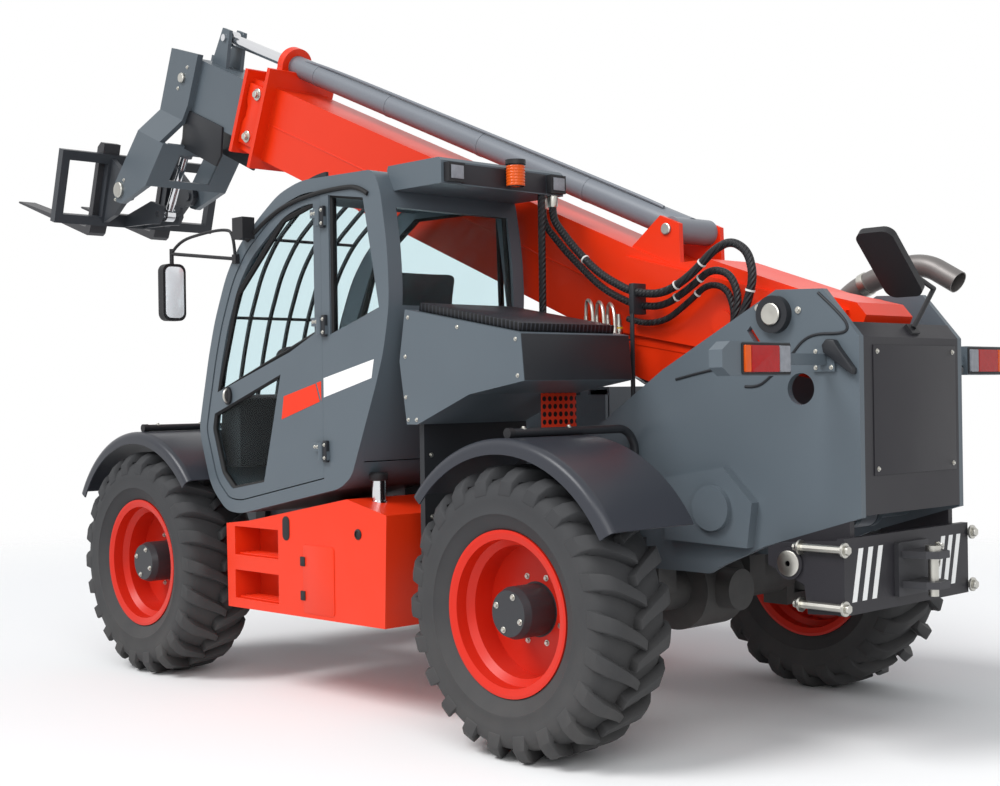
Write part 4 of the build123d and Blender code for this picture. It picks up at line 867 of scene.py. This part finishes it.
def punched(name, colour, shade, across, up, pitch, hole):
    """Sheet with rows of round holes: near-black discs, painted shade seen through them, on a square grid in
    the sheet's own two directions.
    """
    finish = coat(name, colour, shade, 0.4)
    tree = finish.node_tree
    place = add_node(tree, "TexCoord").outputs["Object"]
    split = add_node(tree, "SeparateXYZ", {"Vector": place}).outputs
    flat = add_node(tree, "CombineXYZ", {"X": split[across], "Y": split[up]}).outputs["Vector"]
    grid = {"Vector": flat, "Scale": 1 / pitch, "Randomness": 0}
    cells = add_node(tree, "TexVoronoi", grid, voronoi_dimensions="2D").outputs["Distance"]
    open_here = add_node(tree, "Math", {0: cells, 1: hole / pitch}, operation="LESS_THAN")
    overpaint(finish, hole_shade, open_here.outputs["Value"])
    return finish


black_mesh = punched("black_mesh", (0.045, 0.048, 0.058), (0.036, 0.039, 0.048), "X", "Y", 0.024, 0.0095)
red_mesh = punched("red_mesh", (0.78, 0.045, 0.012), (0.7, 0.04, 0.01), "Y", "Z", 0.034, 0.0115)
top_rise = math.atan2(0.116, 0.64)
top_along = (math.cos(top_rise), 0, math.sin(top_rise))
top_out = (-math.sin(top_rise), 0, math.cos(top_rise))
top_place = face((rear_x + 0.062, 0.44, 1.704), top_along, (0, 1, 0), top_out)
mesh_thick = 0.036
mesh_edge = 0.004
mesh_top = plate(oblong(0.004, 0.646, 0.004, 0.566), mesh_thick, top_place, mesh_edge)
fit(mesh_top, "cooling_top_mesh", black_mesh)
back_lean = math.atan2(0.018, 0.192)
back_up = (math.sin(back_lean), 0, math.cos(back_lean))
back_out = (-math.cos(back_lean), 0, math.sin(back_lean))
back_place = face((rear_x + 0.002, 0.42, 1.504), (0, 1, 0), back_up, back_out)
back_plate = plate(oblong(-0.018, 0.628, 0.002, 0.19), sheet_thick, back_place, sheet_edge)
fit(back_plate, "cooling_back_plate", black_paint)
screen_x = 0.33
screen_thick = 0.004
screen = plate(oblong(0.41, 0.63, 1.25, 1.455), screen_thick, rear_face(screen_x), sheet_edge)
fit(screen, "punched_screen", red_mesh)
box_side = 1.05
bulkhead_x = 0.68
box_bolt = 0.009
bulkhead_bolt = 0.011
box_rows = [(0.74, 1.443), (0.725, 1.345), (0.67, 1.345), (0.74, 1.62)]
box_rows += [(0.72, 1.79), (0.4, 1.735), (0.05, 1.672), (0.04, 1.525)]
box_spots = [((rear_x + x, box_side, z), (0, 1, 0)) for x, z in box_rows]
bulkhead_spots = []
for y in (0.96, 0.8, 0.6):
    for z in (1.19, 0.92):
        bulkhead_spots.append(((rear_x + bulkhead_x, y, z), (-1, 0, 0)))
bolt_heads("cooling_box_bolts", box_spots, box_bolt)
bolt_heads("bulkhead_bolts", bulkhead_spots, bulkhead_bolt)

# Hydraulic hoses: rubber hoses in a black spiral wrap from the light box down into the tower, held
# by a clamp bar and pale ties, with crimped ends; four quick couplers stand on a shelf beside them.
hose_wrap = coat("hose_wrap", (0.02, 0.02, 0.022), (0.014, 0.014, 0.016), 0.45)
wrap = hose_wrap.node_tree
wrap_place = add_node(wrap, "TexCoord").outputs["Object"]
wrap_bands = add_node(wrap, "TexWave", {"Vector": wrap_place, "Scale": 26}, bands_direction="DIAGONAL")
wrap_bump = add_node(wrap, "Bump", {"Height": wrap_bands.outputs["Fac"], "Distance": 0.004})
wrap.links.new(wrap_bump.outputs["Normal"], wrap.nodes["Principled BSDF"].inputs["Normal"])
dress(hose_wrap, "hoses")
tie_plastic = coat("tie_plastic", (0.7, 0.7, 0.68), (0.62, 0.62, 0.6), 0.45)
yellow_ring = coat("yellow_ring", (0.8, 0.5, 0.02), (0.72, 0.44, 0.02), 0.4)
upper_hose = 0.018
middle_hose = 0.016
lower_hose = 0.014
tie_runs = [
    ((0.44, 0.305, 2.125), (0.262, 0.318, 1.98), upper_hose),
    ((-0.11, 0.321, 1.868), (-0.26, 0.321, 1.937), upper_hose),
    ((-0.26, 0.321, 1.937), (-0.385, 0.321, 2.035), upper_hose),
    ((-0.588, 0.321, 1.915), (-0.552, 0.321, 1.8), upper_hose),
    ((-0.075, 0.278, 1.818), (-0.222, 0.278, 1.89), middle_hose),
    ((-0.222, 0.278, 1.89), (-0.335, 0.278, 1.962), middle_hose),
    ((-0.175, 0.237, 1.83), (-0.285, 0.237, 1.905), lower_hose),
]
ties = []
for start, end, radius in tie_runs:
    middle = (Vector(start) + Vector(end)) / 2 + Vector((rear_x, 0, 0))
    ring = [(radius, -0.004), (radius + 0.003, -0.004), (radius + 0.003, 0.004), (radius, 0.004)]
    ties.append(turned(ring, middle, Vector(end) - Vector(start), 16))
fit(ties, "hose_ties", tie_plastic)
box_under = 2.361
tower_shelf = 1.42
upper_ends = [(0.563, 0.3, upper_hose), (0.64, 0.285, middle_hose)]
lower_ends = [(-0.458, 0.321, upper_hose), (-0.426, 0.278, middle_hose), (-0.403, 0.237, lower_hose)]
ferrules = []
for ends, z, wall, way in ((upper_ends, box_under, 0.006, -1), (lower_ends, tower_shelf, 0.005, 1)):
    for x, y, radius in ends:
        outer = radius + wall
        crimp = way * 0.045
        end = way * 0.052
        sleeve = [(radius, 0), (outer, 0), (outer, crimp), (outer - 0.003, end), (radius, end)]
        ferrules.append(turned(sleeve, (rear_x + x, y, z), (0, 0, 1), 18))
fit(ferrules, "hose_ferrules", zinc_plate)
clamp_wide = 0.085
clamp_edge = 0.004
stem_thick = 0.01
stem_edge = 0.002
clamp_bar = plate(oblong(0.036, 0.064, 1.79, 1.925), clamp_wide, side_face(0.261), clamp_edge)
clamp_stem = plate(oblong(0.04, 0.06, 1.36, 1.8), stem_thick, side_face(0.336), stem_edge)
fit([clamp_bar, clamp_stem], "hose_clamp_bar", black_paint)


def level_face(z):
    """A level plane: distance ahead of the rear axle across, distance left of the middle up."""
    return face((rear_x, 0, z), (1, 0, 0), (0, 1, 0), (0, 0, 1))


shelf_low = 1.68
shelf_thick = 0.01
shelf_edge = 0.002
coupler_shelf = plate(oblong(0.17, 0.46, 0.215, 0.402), shelf_thick, level_face(shelf_low), shelf_edge)
fit(coupler_shelf, "coupler_shelf", black_paint)
coupler_section = [(0, 0), (0.013, 0), (0.013, 0.03), (0.018, 0.032), (0.018, 0.06)]
coupler_section += [(0.014, 0.062), (0.014, 0.088), (0.01, 0.09), (0.01, 0.11), (0, 0.11)]
ring_section = [(0.017, 0.045), (0.0195, 0.045), (0.0195, 0.052), (0.017, 0.052)]
coupler_y = 0.25
coupler_pitch = 0.066
pipe_radius = 0.008
couplers = []
rings = []
pipes = []
for number in range(4):
    x = rear_x + 0.21 + number * coupler_pitch
    coupler_place = (x, coupler_y, shelf_low + shelf_thick)
    couplers.append(turned(coupler_section, coupler_place, (0, 0, 1), 16))
    rings.append(turned(ring_section, coupler_place, (0, 0, 1), 16))
    crest = 1.83 + 0.012 * number
    bend = [(x, coupler_y, 1.79), (x, coupler_y, crest), (x - 0.03, 0.262, crest + 0.012)]
    bend += [(x - 0.075, 0.285, crest - 0.03), (x - 0.09, 0.3, 1.7), (x - 0.09, 0.31, 1.684)]
    if number:
        pipes.append(tube(bend, pipe_radius))
fit(couplers, "quick_couplers", zinc_plate)
fit(rings, "coupler_rings", yellow_ring)
fit(pipes, "coupler_pipes", zinc_plate)

# Tank: welded from signal-red plate with two boot recesses, a sight slot, a hinged service flap,
# a small round plug and a bright filler neck with a black screw cap on its sloping shoulder.
dress(signal_red_paint, "fuel_tank", "side_box")
tank_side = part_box("fuel_tank")[1][1]
chrome = coat("chrome", (0.74, 0.75, 0.77), (0.68, 0.69, 0.71), 0.12, metal=1.0, depth=0.004)


def rounded(left, right, low, high, radius):
    """A rectangle's outline with quarter-round corners."""
    outline = []
    for cx, cz, first in (
        (right - radius, high - radius, 0),
        (left + radius, high - radius, 90),
        (left + radius, low + radius, 180),
        (right - radius, low + radius, 270),
    ):
        for step in range(5):
            turn = math.radians(first + step * 22.5)
            outline.append((cx + radius * math.cos(turn), cz + radius * math.sin(turn)))
    return outline


tank_face = side_face(tank_side)
thin_edge = 0.0008
flap = plate(rounded(1.218, 1.458, 0.44, 0.76, 0.02), sheet_thick, tank_face, thin_edge)
fit(flap, "tank_flap", signal_red_paint)
sight = plate(rounded(1.565, 1.62, 0.77, 0.885, 0.026), sheet_thick, tank_face, sheet_edge)
fit(sight, "tank_sight_slot", black_plastic)
hinge_thick = 0.007
hinge_edge = 0.002
flap_hinges = []
for z in (0.52, 0.68):
    hinge_outline = rounded(1.44, 1.476, z - 0.022, z + 0.022, 0.004)
    flap_hinges.append(plate(hinge_outline, hinge_thick, tank_face, hinge_edge))
fit(flap_hinges, "tank_flap_hinges", black_plastic)
tread_rear = 1.672
tread_front = 2.018
tread_wide = 0.011
tread_pitch = 0.031
tread_high = 0.01
tread_edge = 0.003
treads = []
for step in (0.46, 0.675):
    for number in range(4):
        y = 0.966 + tread_pitch * number
        tread_outline = oblong(tread_rear, tread_front, y, y + tread_wide)
        treads.append(plate(tread_outline, tread_high, level_face(step), tread_edge))
fit(treads, "step_treads", signal_red_paint)
plug_section = [(0, 0), (0.024, 0), (0.024, 0.004), (0.016, 0.008), (0.016, 0.003), (0, 0.003)]
plug = turned(plug_section, (rear_x + 1.039, tank_side, 0.831), (0, 1, 0))
fit(plug, "tank_plug", black_plastic)
neck_high = 0.1
neck_section = [(0, 0), (0.038, 0), (0.038, 0.008), (0.033, 0.01), (0.033, neck_high), (0, neck_high)]
cap_section = [(0, 0), (0.04, 0), (0.044, 0.006), (0.044, 0.03), (0.038, 0.038), (0, 0.038)]
filler_place = Vector((rear_x + 1.06, 0.95, 0.965))
fit(turned(neck_section, filler_place, (0, 0, 1)), "filler_neck", chrome)
filler_cap = turned(cap_section, filler_place + Vector((0, 0, neck_high)), (0, 0, 1), 18)
fit(filler_cap, "filler_cap", black_plastic)

# Engine side: a plain cast block under a hinged hood of folded sheet, sprayed slate, with a bank
# of black louvres pressed into its outer side.
dress(cast_iron, "engine_block")
dress(slate_paint, "engine_hood")
hood_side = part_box("engine_hood")[0][1]
louvre_pitch = 0.045
louvre_high = 0.024
louvre_out = 0.008
louvre_edge = 0.003
hood_face = side_face(hood_side, -1)
louvres = []
for number in range(7):
    z = 1.0 + number * louvre_pitch
    louvres.append(plate(oblong(1.12, 1.78, z, z + louvre_high), louvre_out, hood_face, louvre_edge))
fit(louvres, "hood_louvres", black_paint, "hood")

# Exhaust: one bent steel pipe that stands up beside the tower, browned by heat, with a bright
# band clamp round its upper run.
heat_steel = coat("heat_steel", (0.2, 0.188, 0.182), (0.13, 0.12, 0.116), 0.42, metal=0.5, patch=8)
dress(heat_steel, "exhaust")
clamp_ring = [(0.049, -0.016), (0.055, -0.016), (0.056, 0), (0.055, 0.016), (0.049, 0.016)]
clamp_place = (rear_x - 0.4585, -0.7, 1.928)
pipe_way = (-0.93, 0, 0.366)
fit(turned(clamp_ring, clamp_place, pipe_way, 28), "exhaust_clamp", zinc_plate)

# Tail lights: slate housings on arms from the tower plates, each with a black-framed lens in
# amber, red and clear.
dress(slate_paint, "tail_lights")
red_lens = coat("red_lens", (0.42, 0.004, 0.006), (0.3, 0.003, 0.004), 0.18, patch=30, grain=60, depth=0.3)
tail_back = -0.99
tail_tones = (
    ("tail_light_amber", "amber", amber_lens, 0.894, 0.93),
    ("tail_light_red", "lamp_lens", red_lens, 0.724, 0.892),
    ("tail_light_clear", "lamp_lens", lamp_glass, 0.656, 0.722),
)
tail_bolt = 0.009
bezel_thick = 0.004
lens_out = 0.012
lens_round = 0.003
bezel_outline = rounded(0.646, 0.94, 1.509, 1.624, 0.008)
bezels = [plate(bezel_outline, bezel_thick, rear_face(tail_back, hand), sheet_edge) for hand in hands]
fit(bezels, "tail_light_frames", black_plastic)
for name, slot, finish, low, high in tail_tones:
    tail_outline = rounded(low, high, 1.518, 1.615, 0.005)
    tones = [plate(tail_outline, lens_out, rear_face(tail_back, hand), lens_round) for hand in hands]
    fit(tones, name, finish)
bracket_spots = []
for hand in hands:
    for x in (-0.995, -0.925):
        for z in (1.535, 1.598):
            bracket_spots.append(((rear_x + x, hand * (tower_half + 0.012), z), (0, hand, 0)))
bolt_heads("tail_light_bolts", bracket_spots, tail_bolt)

# Mirrors: black moulded heads on bent tube arms, one at the cab's front pillar and one on the
# tower; the cab one shows its silvered glass to the rear, coloured near white as painted reflection.
dress(black_plastic, "mirrors")
# The mirror glass is a near-white, faintly blue colour with little metal in it: painted reflection of the
# bright surround.
mirror_painted_reflection = coat("mirror_painted_reflection", (0.93, 0.96, 0.99), (0.9, 0.93, 0.96), 0.2, metal=0.2, depth=0.002)
mirror_back = 2.475
mirror_outline = rounded(1.089, 1.195, 1.868, 2.132, 0.03)
mirror_face = plate(mirror_outline, sheet_thick, rear_face(mirror_back), thin_edge)
fit(mirror_face, "mirror_glass_face", mirror_painted_reflection)
arm_radius = 0.008
arm_run = [(1.984, 1.096, 2.15), (1.99, 1.098, 2.27), (2.06, 1.108, 2.29)]
arm_run += [(2.2, 1.125, 2.285), (2.44, 1.14, 2.26), (2.5, 1.142, 2.2)]
arm = tube([(rear_x + x, y, z) for x, y, z in arm_run], arm_radius)
fit(arm, "mirror_upper_arm", black_plastic)

# Boom: two signal-red plates and two channels welded into a long box, with a seam along each side,
# gussets at its foot, bolted pad housings at its mouth, and the telescope ram on top.
boom_slope = math.radians(22.8)
boom_along = Vector((math.cos(boom_slope), 0, math.sin(boom_slope)))
boom_up = Vector((-math.sin(boom_slope), 0, math.cos(boom_slope)))
boom_pivot = Vector((pivot_x, 0, pivot_z))


def on_boom(along, up, y):
    """A point in the boom's own measures: along it from the pivot, square to it, and sideways."""
    return boom_pivot + boom_along * along + boom_up * up + Vector((0, y, 0))


def boom_face(y, hand):
    """The boom's side plane at a distance from the middle, in the boom's own measures."""
    return face(on_boom(0, 0, y), boom_along, boom_up, (0, hand, 0))


barrel_grey_paint = coat("barrel_grey_paint", (0.2, 0.215, 0.24), (0.17, 0.185, 0.21), 0.34)
dress(signal_red_paint, "outer_boom")
dress(slate_paint, "inner_boom", "boom_head")
dress(barrel_grey_paint, "telescope_barrel", "lift_barrel", "tilt_barrel")
dress(chrome, "telescope_rod", "lift_rod", "tilt_rod")
dress(dark_steel, "forks")
boom_side = 0.17
weld_up = -0.25
weld_radius = 0.004
gusset_side = 0.15
gusset_thick = 0.016
gusset_edge = 0.003
gusset_outline = [(0.25, -0.28), (1.0, -0.42), (0.95, -0.5), (0.83, -0.575), (0.62, -0.555), (0.45, -0.42)]
housing_thick = 0.024
housing_edge = 0.005
housing_outline = [(3.995, -0.42), (4.205, -0.42), (4.205, -0.3), (4.18, -0.26)]
housing_outline += [(4.18, -0.2), (4.205, -0.16), (4.205, -0.06), (3.995, -0.06)]
housing_bolt = 0.036
ram_height = 0.1
ram_pin_along = 0.843
ram_pin_side = 0.165
ram_pin_section = [(0, -0.003), (0.026, -0.003), (0.026, 0.001), (0.022, 0.004), (0, 0.004)]
weld_lines = []
housings = []
housing_spots = []
ram_pins = []
for hand in hands:
    weld = [on_boom(along, weld_up, hand * boom_side) for along in (1.02, 2.0, 3.0, 3.94)]
    weld_lines.append(tube(weld, weld_radius))
    housings.append(plate(housing_outline, housing_thick, boom_face(hand * boom_side, hand), housing_edge))
    for along, up in ((4.1, -0.11), (4.12, -0.37)):
        housing_spots.append((on_boom(along, up, hand * (boom_side + housing_thick)), (0, hand, 0)))
    ram_pin_place = on_boom(ram_pin_along, ram_height, hand * ram_pin_side)
    ram_pins.append(turned(ram_pin_section, ram_pin_place, (0, hand, 0), 20))
fit(weld_lines, "boom_weld_seams", signal_red_paint, "boom")
gusset_places = [boom_face(hand * gusset_side, hand) for hand in hands]
gussets = [plate(gusset_outline, gusset_thick, place, gusset_edge) for place in gusset_places]
fit(gussets, "boom_foot_gussets", signal_red_paint, "boom")
fit(housings, "boom_pad_housings", signal_red_paint, "boom")
fit(ram_pins, "telescope_pin_ends", zinc_plate, "boom")
bolt_heads("boom_pad_bolts", housing_spots, housing_bolt, "boom")
ram_pipe_y = 0.03
ram_pipe_run = [(1.0, 0.062), (1.05, 0.068), (2.5, 0.068), (3.88, 0.068), (3.93, 0.05)]
ram_pipe = tube([on_boom(along, ram_height + up, ram_pipe_y) for along, up in ram_pipe_run], pipe_radius)
fit(ram_pipe, "telescope_ram_pipe", barrel_grey_paint, "boom")
band_section = [(0.0615, -0.012), (0.064, -0.012), (0.064, 0.012), (0.0615, 0.012)]
band_places = [on_boom(along, ram_height, 0) for along in (1.5, 2.3, 3.1, 3.8)]
bands = [turned(band_section, place, boom_along, 28) for place in band_places]
fit(bands, "ram_pipe_bands", barrel_grey_paint, "boom")

# Boom head and fork carriage: cranked slate plates stiffened by black webs, whose black is painted
# shade in the gap under the head, with bright pin ends held by bolted keepers, and a welded carriage sprayed
# nearly black.
carriage_paint = coat("carriage_paint", (0.042, 0.047, 0.055), (0.034, 0.038, 0.045), 0.4)
dress(carriage_paint, "fork_carriage")
# The webs are black sheets set in the dark gap under the head; their black is painted shade.
web_side = 0.128
web_outline = [(4.9, -0.4), (4.48, -0.4), (4.43, -0.57), (4.46, -0.645), (4.89, -0.64), (4.93, -0.47)]
webs = [plate(web_outline, gusset_thick, boom_face(hand * web_side, hand), gusset_edge) for hand in hands]
fit(webs, "head_webs_painted_shade", black_paint, "inner")
keeper_reach = 0.075
head_bolt = 0.012
head_pins = []
head_spots = []
for hand in hands:
    for along, up, side, size in ((4.99, -0.22, 0.17, 0.032), (5.27, -1.05, 0.3, 0.052)):
        head_section = [(0, -0.003), (size, -0.003), (size, 0.014), (size - 0.005, 0.02), (0, 0.02)]
        head_pins.append(turned(head_section, on_boom(along, up, hand * side), (0, hand, 0), 24))
        for shift in (keeper_reach, -keeper_reach):
            head_spots.append((on_boom(along - 0.4 * shift, up + shift, hand * side), (0, hand, 0)))
fit(head_pins, "head_pin_ends", zinc_plate, "inner")
bolt_heads("head_keeper_bolts", head_spots, head_bolt, "inner")
